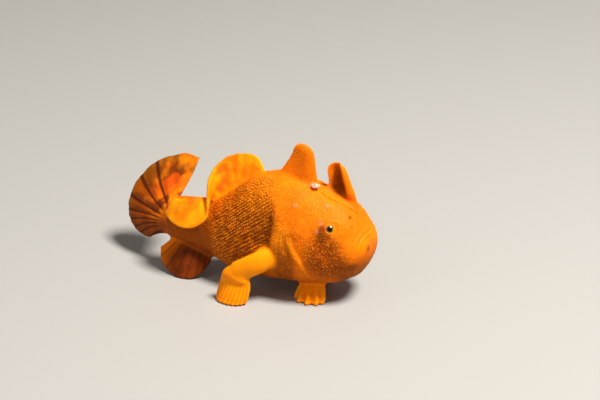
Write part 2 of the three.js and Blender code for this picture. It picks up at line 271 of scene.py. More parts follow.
# How much each point belongs to each group of solids; the shares blend where groups meet.
def groupShares(points, soft=0.2 * mm):
    gaps = []
    for names in fleshGroups.values():
        shape = mergedCopy(names, 0)
        tree = BVHTree.FromBMesh(shape)
        shape.free()
        gaps.append([tree.find_nearest(Vector(p))[3] for p in points])
    gaps = np.array(gaps)
    closeness = np.exp(-(gaps - gaps.min(0)) / soft)
    closeness /= closeness.sum(0)
    return dict(zip(fleshGroups, closeness))


def storeValues(mesh, name, values):
    layer = mesh.attributes.get(name) or mesh.attributes.new(name, "FLOAT", "POINT")
    layer.data.foreach_set("value", values.astype(np.float32))


def readValues(mesh, name):
    values = np.empty(len(mesh.vertices), np.float32)
    mesh.attributes[name].data.foreach_get("value", values)
    return values.astype(float)


# The back and the belly from the side, and the fins' middle surfaces: points over s along the
# fin and t from its root to its edge.
backLine = [[21.15, 13.7], [20.55, 15.7], [19.3, 17.3], [17.8, 19.6], [15.2, 21.6], [11.6, 23.0],
            [7.0, 24.6], [2.6, 25.4], [-2.6, 24.4], [-7.6, 20.8], [-12.0, 17.5], [-16.6, 15.9],
            [-22.9, 14.7]]
bellyLine = [[-8.0, 3.1], [-12.4, 4.5], [-16.6, 5.9], [-22.9, 7.5]]


def lineAt(line, x):
    curve = curveThrough(line, np.linspace(0, 1, 400))
    order = np.argsort(curve[:, 0])
    return np.interp(x, curve[order, 0], curve[order, 1])


dorsalPlan = {
    "margin": [[-1.7, 0.1, 24.5], [-2.9, 0.8, 26.7], [-4.4, 1.2, 27.5], [-6.6, 1.4, 27.5], [-9.0, 1.3, 26.9],
               [-11.3, 0.9, 25.5], [-13.2, -0.9, 22.7], [-12.7, -3.7, 19.2], [-12.2, -5.2, 15.2],
               [-14.8, -5.3, 12.7], [-17.9, -4.9, 12.0], [-20.6, -3.9, 12.5], [-22.6, -2.4, 13.6]],
    "rootStart": -2.2,
    "rootLength": 17.7,
    "rootDepth": 0.5,
    "lift": [0, 0.1, 0.1, 0.1, 0.2, 1.5, 3.2, 3.5, 2.6],  # the flop's swell, from front to rear
    "liftWay": (0, -0.35, 0.9),
    "rays": 12,
}
caudalPlan = {
    "margin": [[-19.1, 8.1, 21.9], [-22.3, 8.9, 22.1], [-25.7, 9.0, 21.0], [-28.8, 8.6, 19.6],
               [-31.4, 8.0, 17.2], [-33.5, 7.0, 14.2], [-34.4, 5.6, 10.6], [-33.6, 4.2, 7.5],
               [-31.2, 3.0, 5.4], [-28.2, 2.1, 4.9]],
    "bend": [[2.3, 3.6, 0.8], [-0.9, 2.9, 0.5], [-3.8, 2.1, 0.2], [-5.2, 1.6, 0.0], [-5.6, 1.3, -0.3],
             [-5.2, 1.1, -0.6], [-3.4, 0.7, -1.0]],  # how the rays leave the root, from top to bottom
    "rootX": -22.7,
    "rootTop": 14.4,
    "rootHeight": 6.6,
    # the rays' places on the edge: they fan out from the upper one, close together below
    "rays": [0.06, 0.2, 0.335, 0.485, 0.62, 0.71, 0.775, 0.84, 0.9, 1.0],
    "fanOut": 0.17,
}
analPlan = {
    "margin": [[-13.5, -1.1, 3.3], [-14.6, -2.6, 1.4], [-16.4, -3.8, 0.3], [-18.8, -4.2, 0.1],
               [-21.7, -3.2, 0.7], [-24.0, -2.0, 2.6], [-24.3, -1.0, 5.0]],
    "rootStart": -12.6,
    "rootLength": 8.8,
    "rootDepth": 0.6,
    "belly": 0.5,
    "rays": 7,
}


def dorsalSurface(s, t):
    margin = curveThrough(dorsalPlan["margin"], s)
    baseX = dorsalPlan["rootStart"] - dorsalPlan["rootLength"] * s
    base = np.stack([baseX, 0 * s, lineAt(backLine, baseX) - dorsalPlan["rootDepth"]], 1)
    lift = curveThrough(dorsalPlan["lift"], s) * np.sin(np.pi * np.sqrt(t))[:, None]
    return base + (margin - base) * t[:, None] + lift * np.array(dorsalPlan["liftWay"])


def caudalSurface(s, t):
    margin = curveThrough(caudalPlan["margin"], s)
    height = caudalPlan["rootTop"] - caudalPlan["rootHeight"] * s
    root = np.stack([caudalPlan["rootX"] + 0 * s, 0 * s, height], 1)
    bend = root + curveThrough(caudalPlan["bend"], s)
    t = t[:, None]
    return root * (1 - t) ** 2 + bend * 2 * t * (1 - t) + margin * t**2


def analSurface(s, t):
    margin = curveThrough(analPlan["margin"], s)
    baseX = analPlan["rootStart"] - analPlan["rootLength"] * s
    base = np.stack([baseX, 0 * s, lineAt(bellyLine, baseX) + analPlan["rootDepth"]], 1)
    point = base + (margin - base) * t[:, None]
    point[:, 1] -= analPlan["belly"] * np.sin(np.pi * t)
    return point


# Number of each ray across a fin, a whole number in the dark groove beside it.
def dorsalRays(s, t):
    return s * dorsalPlan["rays"]


def caudalRays(s, t):
    atEdge = s + caudalPlan["fanOut"] * np.clip(1 - t, 0, 1) ** 1.5
    return np.interp(atEdge, caudalPlan["rays"], np.arange(len(caudalPlan["rays"])))


def analRays(s, t):
    return s * analPlan["rays"]


# Hands and feet: rays that drop from a palm and spread to the toes on the floor.
handPlan = {
    "wrist": [[-6.8, 9.8, 6.6], [-1.3, 9.7, 5.0]],
    "toes": [[-8.8, 9.2, 0.2], [-7.9, 10.9, 0.2], [-5.9, 11.6, 0.2], [-3.8, 11.5, 0.2], [-2.3, 10.3, 0.2]],
    "rays": 10,
    "drop": 0.86,
    "ahead": 1.6,  # how far ahead the left one stands
}
footPlan = {
    "wrist": [[7.8, 2.6, 4.2], [11.4, 2.8, 4.5]],
    "toes": [[6.0, 4.4, 0.2], [7.2, 5.9, 0.2], [9.2, 6.4, 0.2], [11.2, 6.0, 0.2], [12.4, 4.8, 0.2]],
    "rays": 5,
    "drop": 0.75,
    "ahead": -1.6,
}


def fanSurface(plan, side):
    ahead = np.array([plan["ahead"] if side > 0 else 0, 0, 0])
    sided = np.array([1, side, 1])

    def surface(s, t):
        rear, front = (np.array(p) * sided + ahead for p in plan["wrist"])
        root = rear + (front - rear) * (0.06 + 0.88 * s)[:, None]
        tip = curveThrough(plan["toes"], s) * sided + ahead
        ankle = root + (tip - root) * 0.72
        ankle[:, 2] = root[:, 2] + (tip[:, 2] - root[:, 2]) * plan["drop"]
        t = t[:, None]
        return root * (1 - t) ** 2 + ankle * 2 * t * (1 - t) + tip * t**2

    return surface


def fanRays(plan):
    return lambda s, t: s * (plan["rays"] - 1) + 0.5


finPlans = [
    {"group": "dorsal", "surface": dorsalSurface, "rays": dorsalRays, "ridge": 0.05 * mm, "side": 0},
    {"group": "caudal", "surface": caudalSurface, "rays": caudalRays, "ridge": 0.1 * mm, "side": 0},
    {"group": "anal", "surface": analSurface, "rays": analRays, "ridge": 0.06 * mm, "side": 0},
]
for group, plan, ridge in (("hands", handPlan, 0.13 * mm), ("feet", footPlan, 0.16 * mm)):
    for side in (-1, 1):
        finPlans.append({"group": group, "surface": fanSurface(plan, side), "rays": fanRays(plan),
                         "ridge": ridge, "side": side})


# Where each of these points is on the fin: s along it and t out from its root.
def finPlaces(surface, points, columns=320, rows=48):
    s, t = (grid.ravel() for grid in np.meshgrid(np.linspace(0, 1, columns), np.linspace(0, 1, rows)))
    known = place(surface(s, t))
    tree = KDTree(len(known))
    for k, point in enumerate(known):
        tree.insert(point, k)
    tree.balance()
    nearest = np.array([tree.find(p)[1] for p in points])
    return s[nearest], t[nearest]


# Lines and spots on the fish. Pink spots, smudges, wrists and the feet of the spines lie where
# they are; the rest are given on its left side and mirrored on its right.
marks = {
    "mouth": [[20.42, 0.0, 15.95], [20.36, 0.8, 15.98], [20.14, 1.76, 16.02], [19.83, 3.18, 15.69],
              [19.6, 4.03, 15.22], [19.46, 4.56, 14.69], [19.24, 5.21, 13.77], [18.95, 5.6, 12.6]],
    "lipFold": [[19.06, 3.72, 16.39], [19.01, 4.19, 16.02], [18.78, 4.98, 15.27], [18.56, 5.52, 14.53],
                [18.32, 5.86, 13.7], [18.17, 6.11, 12.6], [18.05, 6.2, 11.4]],
    "nostrils": [[17.1, 3.16, 19.37], [17.82, 4.06, 17.96]],
    "ridge": [[6.2, 8.45, 14.6], [6.46, 8.5, 13.78], [6.87, 8.49, 12.76], [7.58, 8.45, 11.55],
              [8.43, 8.23, 10.07], [9.29, 7.75, 8.34], [9.98, 7.05, 6.91], [10.4, 6.4, 5.9]],
    "shoulder": [[2.0, 3.2, 24.0], [2.47, 5.5, 22.12], [3.08, 7.16, 19.3], [3.02, 8.16, 15.42],
                 [2.65, 8.33, 13.27], [2.5, 8.3, 11.0]],
    "gillPore": [[-3.4, 7.0, 7.4]],
    "warts": [[6.74, 5.85, 21.33], [12.6, 3.83, 21.38]],
    # pink tips of the two warts, two pink specks by the eye, one of them a painted highlight, and painted
    # highlights on the back's grains
    "pinkWarts": [[6.74, -5.85, 21.33], [12.6, -3.83, 21.38], [0.5, -2.4, 25.2], [-1.6, -4.2, 23.8],
                  [5.2, 3.4, 24.2], [9.8, 4.6, 22.3], [11.7, -7.35, 17.2], [12.3, -6.5, 18.7]],
    "freckles": [[4.05, 6.43, 18.91]],
    "wrists": [[-5.0, -9.8, 6.6], [-3.4, 9.8, 6.6]],
    "spineFeet": [[17.9, 0, 20.3], [10.4, 0, 24.6], [10.9, 0, 23.6], [-0.2, 0, 25.6]],
    "finPatches": {
        # along the fin, towards its edge, half size, redder or yellower
        "dorsal": [[0.43, 0.83, 0.1, 1.0], [0.3, 0.55, 0.09, 0.7], [0.5, 0.4, 0.08, 0.6],
                   [0.38, 0.97, 0.08, -0.8], [0.18, 0.9, 0.09, -0.8], [0.09, 0.7, 0.07, -0.4],
                   [0.72, 0.75, 0.09, -0.8], [0.91, 0.5, 0.09, -0.9], [0.9, 0.22, 0.08, 1.0],
                   [0.76, 0.25, 0.08, 0.6]],
        "caudal": [[0.18, 0.64, 0.09, 1.0], [0.44, 0.66, 0.06, 0.9], [0.1, 0.4, 0.09, -0.7],
                   [0.06, 0.85, 0.06, -0.6], [0.25, 0.85, 0.05, -0.5]],
    },
    # dark blots beside the eye and below it, with painted shade of its socket: where, half size, how dark
    "eyeBlots": [[12.6, 6.9, 17.8, 0.7, 1.0], [12.7, 7.2, 16.8, 0.9, 1.0], [12.9, 7.3, 15.9, 0.9, 0.8],
                 [14.0, 7.0, 16.2, 0.5, 0.8], [15.0, 7.0, 14.6, 1.4, 0.5]],
    "smudges": [[20.75, -2.9, 13.1], [18.54, -5.58, 9.69], [19.7, 4.6, 11.3]],
}


def bothSides(points):
    return points * np.array([1, 0, 1]) + np.abs(points) * np.array([0, 1, 0])


# The face gets finer mesh round its small features, in two passes.
finePlan = {
    "mouth": 1.3 * mm,
    "nostril": 0.8 * mm,
    "eye": 2.3 * mm,
    "eyeOut": 0.8 * mm,
    "passes": (1.0, 0.62),
}


def refine(mesh):
    shape = bmesh.new()
    shape.from_mesh(mesh)
    for reach in finePlan["passes"]:
        corners = np.array([v.co for v in shape.verts])
        folded = bothSides(corners)
        wanted = lineDistance(folded, place(marks["mouth"]))[0] < finePlan["mouth"] * reach
        for spot in marks["nostrils"]:
            wanted |= gapTo(folded, spot) < finePlan["nostril"] * reach
        for side in (-1, 1):
            centre, axis = eyeFrame(side)
            gap = np.linalg.norm(corners - centre - axis * finePlan["eyeOut"], axis=1)
            wanted |= gap < finePlan["eye"] * reach
        inside = [e for e in shape.edges if wanted[e.verts[0].index] and wanted[e.verts[1].index]]
        bmesh.ops.subdivide_edges(shape, edges=inside, cuts=1, use_grid_fill=True)
    bmesh.ops.triangulate(shape, faces=[f for f in shape.faces if len(f.verts) > 4])
    shape.to_mesh(mesh)
    shape.free()


def unwrap(piece):
    bpy.context.view_layer.objects.active = piece
    piece.select_set(True)
    bpy.ops.object.mode_set(mode="EDIT")
    bpy.ops.mesh.select_all(action="SELECT")
    bpy.ops.uv.smart_project(angle_limit=1.15, island_margin=0.001)
    bpy.ops.object.mode_set(mode="OBJECT")
    piece.data.uv_layers[0].name = "OFBake"


skinMesh = remeshed()
print("skin remeshed", len(skinMesh.polygons), "faces")
points = readPoints(skinMesh)
shares = groupShares(points)
edges = readEdges(skinMesh)
finShare = shares["dorsal"] + shares["caudal"] + shares["anal"]
footShare = shares["hands"] + shares["feet"]
bodyShare = 1 - finShare - footShare

# Rounded: the flat facets go from the body, and less from fins and hands.
fixedShare = relax(np.clip(finShare + footShare, 0, 1), edges, 4)[:, 0]
before = points.copy()
slowRounds = skinPlan["bodyRounds"] - skinPlan["finRounds"]
points = relax(points, edges, slowRounds, weight=np.clip(1 - 1.3 * fixedShare, 0, 1))
finRounds = skinPlan["finRounds"] - skinPlan["handRounds"]
points = relax(points, edges, finRounds, weight=1 - np.clip(footShare, 0, 1))
points = relax(points, edges, skinPlan["handRounds"])
for spots, kind in (("wrists", "wrist"), ("spineFeet", "spine")):
    for spot in marks[spots]:
        near = bump(gapTo(before, spot), skinPlan[kind + "Reach"])
        points = relax(points, edges, skinPlan[kind + "Rounds"], weight=near)
writePoints(skinMesh, points)
normals = readNormals(skinMesh)

# The skin goes back inside the solids, by the coat's depth on the body.
sunk = np.einsum("ij,ij->i", before - points, normals)
sunk = np.clip(sunk, -skinPlan["mostRegain"], skinPlan["mostRegain"])
regain = relax(sunk, edges, skinPlan["regainRounds"])[:, 0]
depth = skinPlan["swell"] + skinPlan["coatDepth"] * bodyShare + skinPlan["finDepth"] * (1 - bodyShare)
points += normals * (regain - depth)[:, None]
writePoints(skinMesh, points)
for name, share in shares.items():
    storeValues(skinMesh, name, relax(share, edges, 2)[:, 0])

skin = addObject("frogfish_skin", skinMesh)
unwrap(skin)
refine(skinMesh)
print("skin rounded, unwrapped and refined", len(skinMesh.polygons), "faces")

points = readPoints(skinMesh)
normals = readNormals(skinMesh)
edges = readEdges(skinMesh)
shares = {name: readValues(skinMesh, name) for name in fleshGroups}
folded = bothSides(points)
fish = points / mm - np.array([shiftX / mm, 0, 0])  # millimetres in the fish's own measure

# Fins: each point's ray number and height, and the rays as low ridges.
rayNumber = np.zeros(len(points))
redder = np.zeros(len(points))
yellower = np.zeros(len(points))
finHeight = np.zeros(len(points))
finAlong = np.zeros(len(points))
for plan in finPlans:
    share = shares[plan["group"]] * (points[:, 1] * plan["side"] >= 0)
    on = np.where(share > 0.03)[0]
    s, t = finPlaces(plan["surface"], points[on])
    number = plan["rays"](s, t)
    local = np.zeros(len(points))
    for target, values in ((rayNumber, number), (finHeight, t), (finAlong, s)):
        local[:] = 0
        local[on] = values
        inside = np.zeros(len(points), bool)
        inside[on] = True
        within = inside[edges].all(1)
        target[on] = relax(local, edges[within], 3)[on, 0]
    for along, out, size, strength in marks["finPatches"].get(plan["group"], ()):
        amount = abs(strength) * bump(np.hypot(s - along, 0.6 * (t - out)), size)
        (redder if strength > 0 else yellower)[on] += amount
    outward = smoothstep(0.05, 0.3, t) * (1 - 0.6 * smoothstep(0.8, 1, t))
    ridge = -np.cos(2 * np.pi * rayNumber[on]) * outward
    points[on] += normals[on] * (ridge * plan["ridge"] * share[on])[:, None]
print("fins rayed")

# Moves the skin out along its normals by these millimetres.
def push(amount):
    points[:] += normals * (amount * mm)[:, None]


# A swelling of that height and width round one value.
def swellAt(values, amount, middle, width):
    return amount * bump(values - middle, width)


# The second dorsal spine: a thick front rod, and a leaf behind it hollowed to the right.
spinePlan = {
    "heights": [20.4, 23.0, 25.6, 27.6, 28.9],
    "halfWidths": [3.5, 3.0, 2.5, 2.1, 1.6],
    "middles": [14.4, 14.0, 13.5, 13.2, 12.9],
    "rear": 9.5,
    "foot": (21.0, 23.5),
    "top": (26.5, 29.5),
    "topFade": 0.6,
    # from here on across the spine: -1 at the leaf's edge, 1 at the rod's front
    "hollow": 1.6,
    "hollowFront": (0.58, 0.2),
    "hollowRear": (-1.1, -0.1),
    "leafEdge": (-0.35, -1.0, 0.3),
    "rodSide": (-0.2, 0.7, 0.4),
    "rod": (0.3, 0.7, 0.32),
    "groove": (-0.1, -0.1, 0.45),
}
spineHalf = np.interp(fish[:, 2], spinePlan["heights"], spinePlan["halfWidths"])
spineX = np.interp(fish[:, 2], spinePlan["heights"], spinePlan["middles"])
onSpine = shares["spines"] * (fish[:, 0] > spinePlan["rear"])
across = (fish[:, 0] - spineX) / spineHalf
spineHeight = smoothstep(*spinePlan["foot"], fish[:, 2])
spineHeight = spineHeight * (1 - spinePlan["topFade"] * smoothstep(*spinePlan["top"], fish[:, 2]))
hollow = 0.2 + 0.8 * smoothstep(*spinePlan["hollowRear"], across)
hollow = spinePlan["hollow"] * (smoothstep(*spinePlan["hollowFront"], across) * hollow)
cup = hollow + swellAt(across, *spinePlan["leafEdge"]) + swellAt(across, *spinePlan["rodSide"])
points[:, 1] += cup * spineHeight * mm * onSpine
push((swellAt(across, *spinePlan["rod"]) + swellAt(across, *spinePlan["groove"])) * spineHeight * onSpine)

# Behind the shoulder the flank falls in along a crisp line.
shoulderPlan = {
    "depth": 0.85,
    "edge": (-0.2, 1.3),
    "reach": 5.5,
    "lip": (0.16, -0.9, 1.0),
    "foot": (10.5, 13.5),
    "top": (22.5, 18.0),
    "side": (0.25, 0.7),  # the sideways part of the normal
}
onBody = shares["body"]
shoulderLine = np.array(marks["shoulder"])
edgeX = np.interp(fish[:, 2], shoulderLine[::-1, 2], shoulderLine[::-1, 0])
behind = edgeX - fish[:, 0]
flankWindow = smoothstep(*shoulderPlan["foot"], fish[:, 2]) * smoothstep(*shoulderPlan["top"], fish[:, 2])
flankWindow *= smoothstep(*shoulderPlan["side"], np.abs(normals[:, 1])) * onBody
step = -shoulderPlan["depth"] * smoothstep(*shoulderPlan["edge"], behind)
step = step * np.exp(-np.clip(behind, 0, None) / shoulderPlan["reach"])
push((step + swellAt(behind, *shoulderPlan["lip"])) * flankWindow)

# Small forms, each a swelling by distance: how many millimetres high, how far off, how wide.
forms = {
    "gillRidge": (0.4, 0, 0.45 * mm),
    "gillGroove": (-0.14, 0.95 * mm, 0.4 * mm),
    "poreRim": (0.3, 0.75 * mm, 0.4 * mm),
    "pore": (-0.9, 0, 0.42 * mm),
    "wart": (0.22, 0, 0.5 * mm),
    "slit": (0.3, 0, 0.15 * mm),
    "lip": (0.1, 0.5 * mm, 0.3 * mm),
    "lipGroove": (-0.05, 1.15 * mm, 0.25 * mm),
    "lipFold": (0.13, 0, 0.17 * mm),
    "nostrilRims": [(0.2, 0.34 * mm, 0.16 * mm), (0.08, 0.34 * mm, 0.16 * mm)],
    "nostril": (-0.4, 0, 0.18 * mm),
}

# The ridge on the gill cover, the gill's pore behind the arm, and the warts.
ridgeGap, ridgeAlong = lineDistance(folded, place(marks["ridge"]))
push(swellAt(ridgeGap, *forms["gillRidge"]) * np.sin(np.pi * ridgeAlong) ** 0.5 * onBody)
push(swellAt(ridgeGap, *forms["gillGroove"]) * onBody)
for spot in marks["gillPore"]:
    gap = gapTo(folded, spot)
    push(swellAt(gap, *forms["poreRim"]) + swellAt(gap, *forms["pore"]))
for spot in marks["warts"]:
    push(swellAt(gapTo(folded, spot), *forms["wart"]))

# Soft unevenness all over, so that no stretch of skin is a plain curve.
waves = (([0.9, 0.5, 0.7], 0.3), ([-0.6, 1.1, 0.8], 1.9), ([1.7, -0.9, 1.2], 4.0), ([0.8, 2.1, -1.6], 2.2))
waveHeight = 0.035
swing = sum(np.sin(fish @ np.array(wave) + phase) for wave, phase in waves)
push(swing * waveHeight * onBody)

# The mouth: a narrow slit that curves down each side, between an upper and a lower lip.
mouthLine = curveThrough(place(marks["mouth"]), np.linspace(0, 1, 40))
mouthGap, mouthAlong = lineDistance(folded, mouthLine)
front = smoothstep(0.0, 0.16, mouthAlong)
end = smoothstep(0.72, 1, mouthAlong)
slit = swellAt(mouthGap, *forms["slit"]) * (1 - 0.9 * end) * (0.25 + 0.75 * front)
lips = (swellAt(mouthGap, *forms["lip"]) + swellAt(mouthGap, *forms["lipGroove"])) * (1 - end)
lips *= 0.2 + 0.8 * front
foldGap, foldAlong = lineDistance(folded, curveThrough(place(marks["lipFold"]), np.linspace(0, 1, 30)))
fold = swellAt(foldGap, *forms["lipFold"]) * np.sin(np.pi * foldAlong) ** 0.7
push(lips - slit - fold)

# Nostrils: a short tube in front, a pit behind.
for spot, rim in zip(marks["nostrils"], forms["nostrilRims"]):
    gap = gapTo(folded, spot)
    push(swellAt(gap, *rim) + swellAt(gap, *forms["nostril"]))

# Eyes: the skin rises in a lid round each ball and passes behind it.
for side in (-1, 1):
    centre, axis = eyeFrame(side)
    reach = points - centre
    out = reach @ axis
    sideways = reach - out[:, None] * axis
    sideways[:, 2] *= eyePlan["flatness"]  # the lids leave a slightly flat oval open
    aside = np.linalg.norm(sideways, axis=1)
    near = (out > 0) & (aside < eyePlan["reach"])
    ring, halfWidth = eyePlan["cheekRing"]
    level = out[near & (np.abs(aside - ring) < halfWidth)].mean()
    lid = np.maximum(level - eyePlan["lidSink"], eyePlan["lidLevel"])
    lidGap = aside - eyePlan["opening"] - eyePlan["lidMiddle"]
    lid = lid + eyePlan["lidHeight"] * bump(lidGap, eyePlan["lidWidth"])
    inward, outward = eyePlan["edge"]
    sunken = 1 - smoothstep(eyePlan["opening"] - inward, eyePlan["opening"] + outward, aside)
    wanted = lid - eyePlan["socketDepth"] * sunken
    share = near * (1 - smoothstep(*eyePlan["fade"], aside))
    points += ((wanted - out) * share)[:, None] * axis
writePoints(skinMesh, points)
normals = readNormals(skinMesh)

# Where the markings and the painted light and shade lie. Each stretch goes from none to all between
# two values, which are millimetres on the fish unless a note says otherwise.
stretches = {
    "flankFront": (0.0, 1.5),  # behind the shoulder's line
    "flankFoot": (4.5, 8.0),
    "flankSide": (0.15, 0.5),  # the sideways part of the normal
    "hollowFoot": (10.5, 13.5),
    "hollowTop": (20.6, 17.0),
    "backRim": (3.6, 1.8),  # below the back's line
    # painted shade, darker towards the bottom
    "underside": (9.0, 3.0),
    "stalkFront": (-10.0, -13.5),
    "stalkTop": (15.5, 13.0),
    "chinTop": (14.0, 9.0),
    "chinRear": (14.0, 17.0),
    "leafFront": (0.62, 0.36),  # across the second spine
    "leafRear": (-1.0, 0.15),
    "leafEdge": (0.3, -0.2),
    "leafTop": (28.0, 25.0),
    "backTop": (19.5, 23.5),
    "shoulderTop": (20.0, 15.0),
    "underFinFront": (0.6, 2.2),  # behind the shoulder's line
    "underFinFoot": (3.4, 1.6),  # below the back's line
    "underFinRear": (-3, -6),
    "rowsTop": (17.5, 21.5),
    "thirdSpineTop": (34.0, 31.0),
    "crownFoot": (12.0, 15.0),
    "crownFront": (16.5, 12.5),
    "foreheadRear": (14.5, 17.5),
    "foreheadFoot": (14.5, 16.5),
}
bands = {  # strength, middle and width
    "shoulder": (1, -1.6, 1.8),  # behind the shoulder's line
    "thirdSpine": (1, 6.5, 1.7),
}
# Painted shade in the flank's hollow behind the shoulder, and duller prickle tips in its middle.
hollowShadePlan = {  # the flank's dark hollow behind the shoulder
    "start": 1,
    "least": 0.16,
    "most": 0.85,
    "reach": 3.2,
    "paleReach": 2.5,
    "rimFade": 0.7,
}
roundZones = {  # middle, half sizes, and the stretch it fades over, in half sizes
    "cheek": ([13.4, 7.0, 11.4], [5.0, 9.0, 6.0], (1.1, 0.4)),
    "throat": ([4.6, 8.0, 8.6], [2.9, 9.0, 5.4], (1.15, 0.6)),
}
spotSizes = {
    "smudge": 0.7 * mm,
    "pinkWart": 0.34 * mm,
    "pit": 0.24 * mm,
    "pore": 0.45 * mm,
    "crease": 0.14 * mm,
    "foldCrease": 0.15 * mm,
    "ridge": 0.4 * mm,
    "bareLips": 0.6 * mm,
    "plainLips": 0.7 * mm,
}
amounts = {  # how much of each patch goes into a marking or into the painted light and shade
    # Painted shade in the flank's hollow, on the throat, the chin and the underside, on the tail stalk under
    # the fin's lobe and in the second spine's hollow (leaf). The cheek and the blots round the eye are
    # darker skin with painted shade on it, the smudges are dark marks of the skin, and leafEdge darkens the
    # leaf's lower part.
    "shade": {"hollow": 1, "cheek": 0.3, "eyeBlots": 0.95, "throat": 0.42, "chin": 0.6, "underside": 0.72,
              "stalk": 0.6, "smudges": 0.9, "leaf": 0.8, "leafEdge": 0.3},
    # The soft dorsal fin's painted shadow on the flank below it; thirdSpine darkens the third spine a
    # little.
    "moreShade": {"thirdSpine": 0.1, "underFin": 0.35},
    # Painted light on the top of the back and on the shoulder's bulge; the arms are amber skin with painted
    # light on it, and the gill ridge is a pale line.
    "bright": {"arms": 1, "ridge": 0.6, "backTop": 0.25, "shoulder": 0.9},
    # Paler prickle tips: paler skin with painted highlight, less of it on the stalk, underneath, below the
    # fin and in the flank's hollow, where painted shade lies.
    "pale": {"all": 0.26, "flank": 0.5, "cheek": 0.45, "throat": 0.3, "stalk": -0.65, "underside": -0.3,
             "underFin": -0.35, "hollowMiddle": -0.4},
    "grain": {"all": 0.35, "flank": 0.65, "cheek": 0.5},
    "grown": {"body": 1, "spines": 0.8, "arms": 0.35},
    "dots": {"cheek": 1, "throat": 0.8, "chin": 0.5},
    "moreDots": {"thirdSpine": 0.42, "crown": 0.32},
}
strengths = {
    "crease": 0.85,
    "foldCrease": 0.35,
    "pinkWart": 0.75,
    "pits": (1.6, 0.7, 1.4),  # painted shade in the nostrils, then the freckle
    "redder": 0.9,
    "lessBright": 0.8,  # where it is shaded
}


def over(name, values):
    return smoothstep(*stretches[name], values)


# The zones' values, each times its amount, added up.
def total(shares, zones):
    return sum(amount * zones[zone] for zone, amount in shares.items())


x, y, z = fish.T
flankShare = onBody * over("flankFront", behind) * over("flankFoot", z)
flankShare = flankShare * over("flankSide", np.abs(normals[:, 1]))
underBack = lineAt(backLine, x) - z
hollowHeight = over("hollowFoot", z) * over("hollowTop", z)
pastEdge = np.clip(behind - hollowShadePlan["start"], 0, None)
hollow = hollowShadePlan["least"] + hollowShadePlan["most"] * hollowHeight * np.exp(-pastEdge / hollowShadePlan["reach"])
zones = {
    "all": np.ones(len(points)),
    "body": onBody,
    "arms": shares["arms"],
    "spines": shares["spines"],
    "flank": flankShare,
    "hollow": flankShare * hollow * (1 - hollowShadePlan["rimFade"] * over("backRim", underBack)),
    "hollowMiddle": flankShare * hollowHeight * np.exp(-pastEdge / hollowShadePlan["paleReach"]),
    "eyeBlots": sum(strength * bump(gapTo(folded, spot, (1, 0.4, 1)), size * mm)
                    for *spot, size, strength in marks["eyeBlots"]),
    "underside": onBody * over("underside", z),
    "stalk": onBody * over("stalkFront", x) * over("stalkTop", z),
    "chin": onBody * over("chinTop", z) * over("chinRear", x),
    "smudges": sum(bump(gapTo(points, spot, (0.6, 1, 1)), spotSizes["smudge"]) for spot in marks["smudges"]),
    "leaf": (onSpine * over("leafFront", across) * over("leafRear", across) * (normals[:, 1] < 0.2)
             * spineHeight),
    "leafEdge": onSpine * over("leafEdge", across) * over("leafTop", z),
    "ridge": bump(ridgeGap, spotSizes["ridge"]),
    "backTop": onBody * over("backTop", z),
    "shoulder": onBody * swellAt(behind, *bands["shoulder"]) * over("shoulderTop", z),
    "thirdSpine": shares["spines"] * swellAt(x, *bands["thirdSpine"]) * over("thirdSpineTop", z),
    "crown": onBody * (1 - flankShare) * over("crownFoot", z) * over("crownFront", x),
    "underFin": (onBody * over("underFinFront", behind) * over("underFinFoot", underBack)
                 * over("underFinRear", x)),
}
for name, (middle, halfSizes, fade) in roundZones.items():
    zones[name] = onBody * smoothstep(*fade, gapIn(folded, middle, halfSizes))

shade = total(amounts["shade"], zones)
# Painted shade in the mouth's slit, the lip's fold and the gill's pore.
crease = strengths["crease"] * bump(mouthGap, spotSizes["crease"]) * (1 - 0.9 * end)
crease += strengths["foldCrease"] * bump(foldGap, spotSizes["foldCrease"]) * np.sin(np.pi * foldAlong)
for spot in marks["gillPore"]:
    crease += bump(gapTo(folded, spot), spotSizes["pore"])
dots = np.clip(total(amounts["dots"], zones), 0, 1) * (1 - bump(mouthGap, spotSizes["plainLips"]))

# What the skin and its prickles both read.
carriedValues = {
    "shade": shade + total(amounts["moreShade"], zones),
    "bright": (np.clip(total(amounts["bright"], zones), 0, 1)
               * (1 - strengths["lessBright"] * np.clip(shade, 0, 1))),
    "pink": sum(strengths["pinkWart"] * bump(gapTo(points, spot), spotSizes["pinkWart"])
                for spot in marks["pinkWarts"]),
    "pale": total(amounts["pale"], zones),
    "crease": crease,
    "pit": sum(strength * bump(gapTo(folded, spot, (1, 1, 0.6)), spotSizes["pit"])
               for spot, strength in zip(marks["nostrils"] + marks["freckles"], strengths["pits"])),
    "rows": (flankShare * (1 - zones["stalk"]) * (1 - 0.7 * zones["underFin"])
             * (1 - 0.55 * over("rowsTop", z))),
    "dots": dots + total(amounts["moreDots"], zones),
    "redder": redder + strengths["redder"] * onBody * over("foreheadRear", x) * over("foreheadFoot", z),
}
carriedValues = {name: np.clip(values, 0, 1) for name, values in carriedValues.items()}
for name, values in carriedValues.items():
    storeValues(skinMesh, name, values)

grain = total(amounts["grown"], zones) * (1 - bump(mouthGap, spotSizes["bareLips"]))
grain = grain * np.clip(total(amounts["grain"], zones), 0, 1)
for name, values in (("grain", grain), ("yellower", np.clip(yellower, 0, 1)), ("rayNumber", rayNumber),
                     ("finHeight", finHeight), ("finAlong", finAlong)):
    storeValues(skinMesh, name, values)
skinMesh.shade_smooth()
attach(skin, "root")
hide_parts(*fleshNodes)
print("skin sculpted")

# Shading: sockets that add and multiply like numbers.


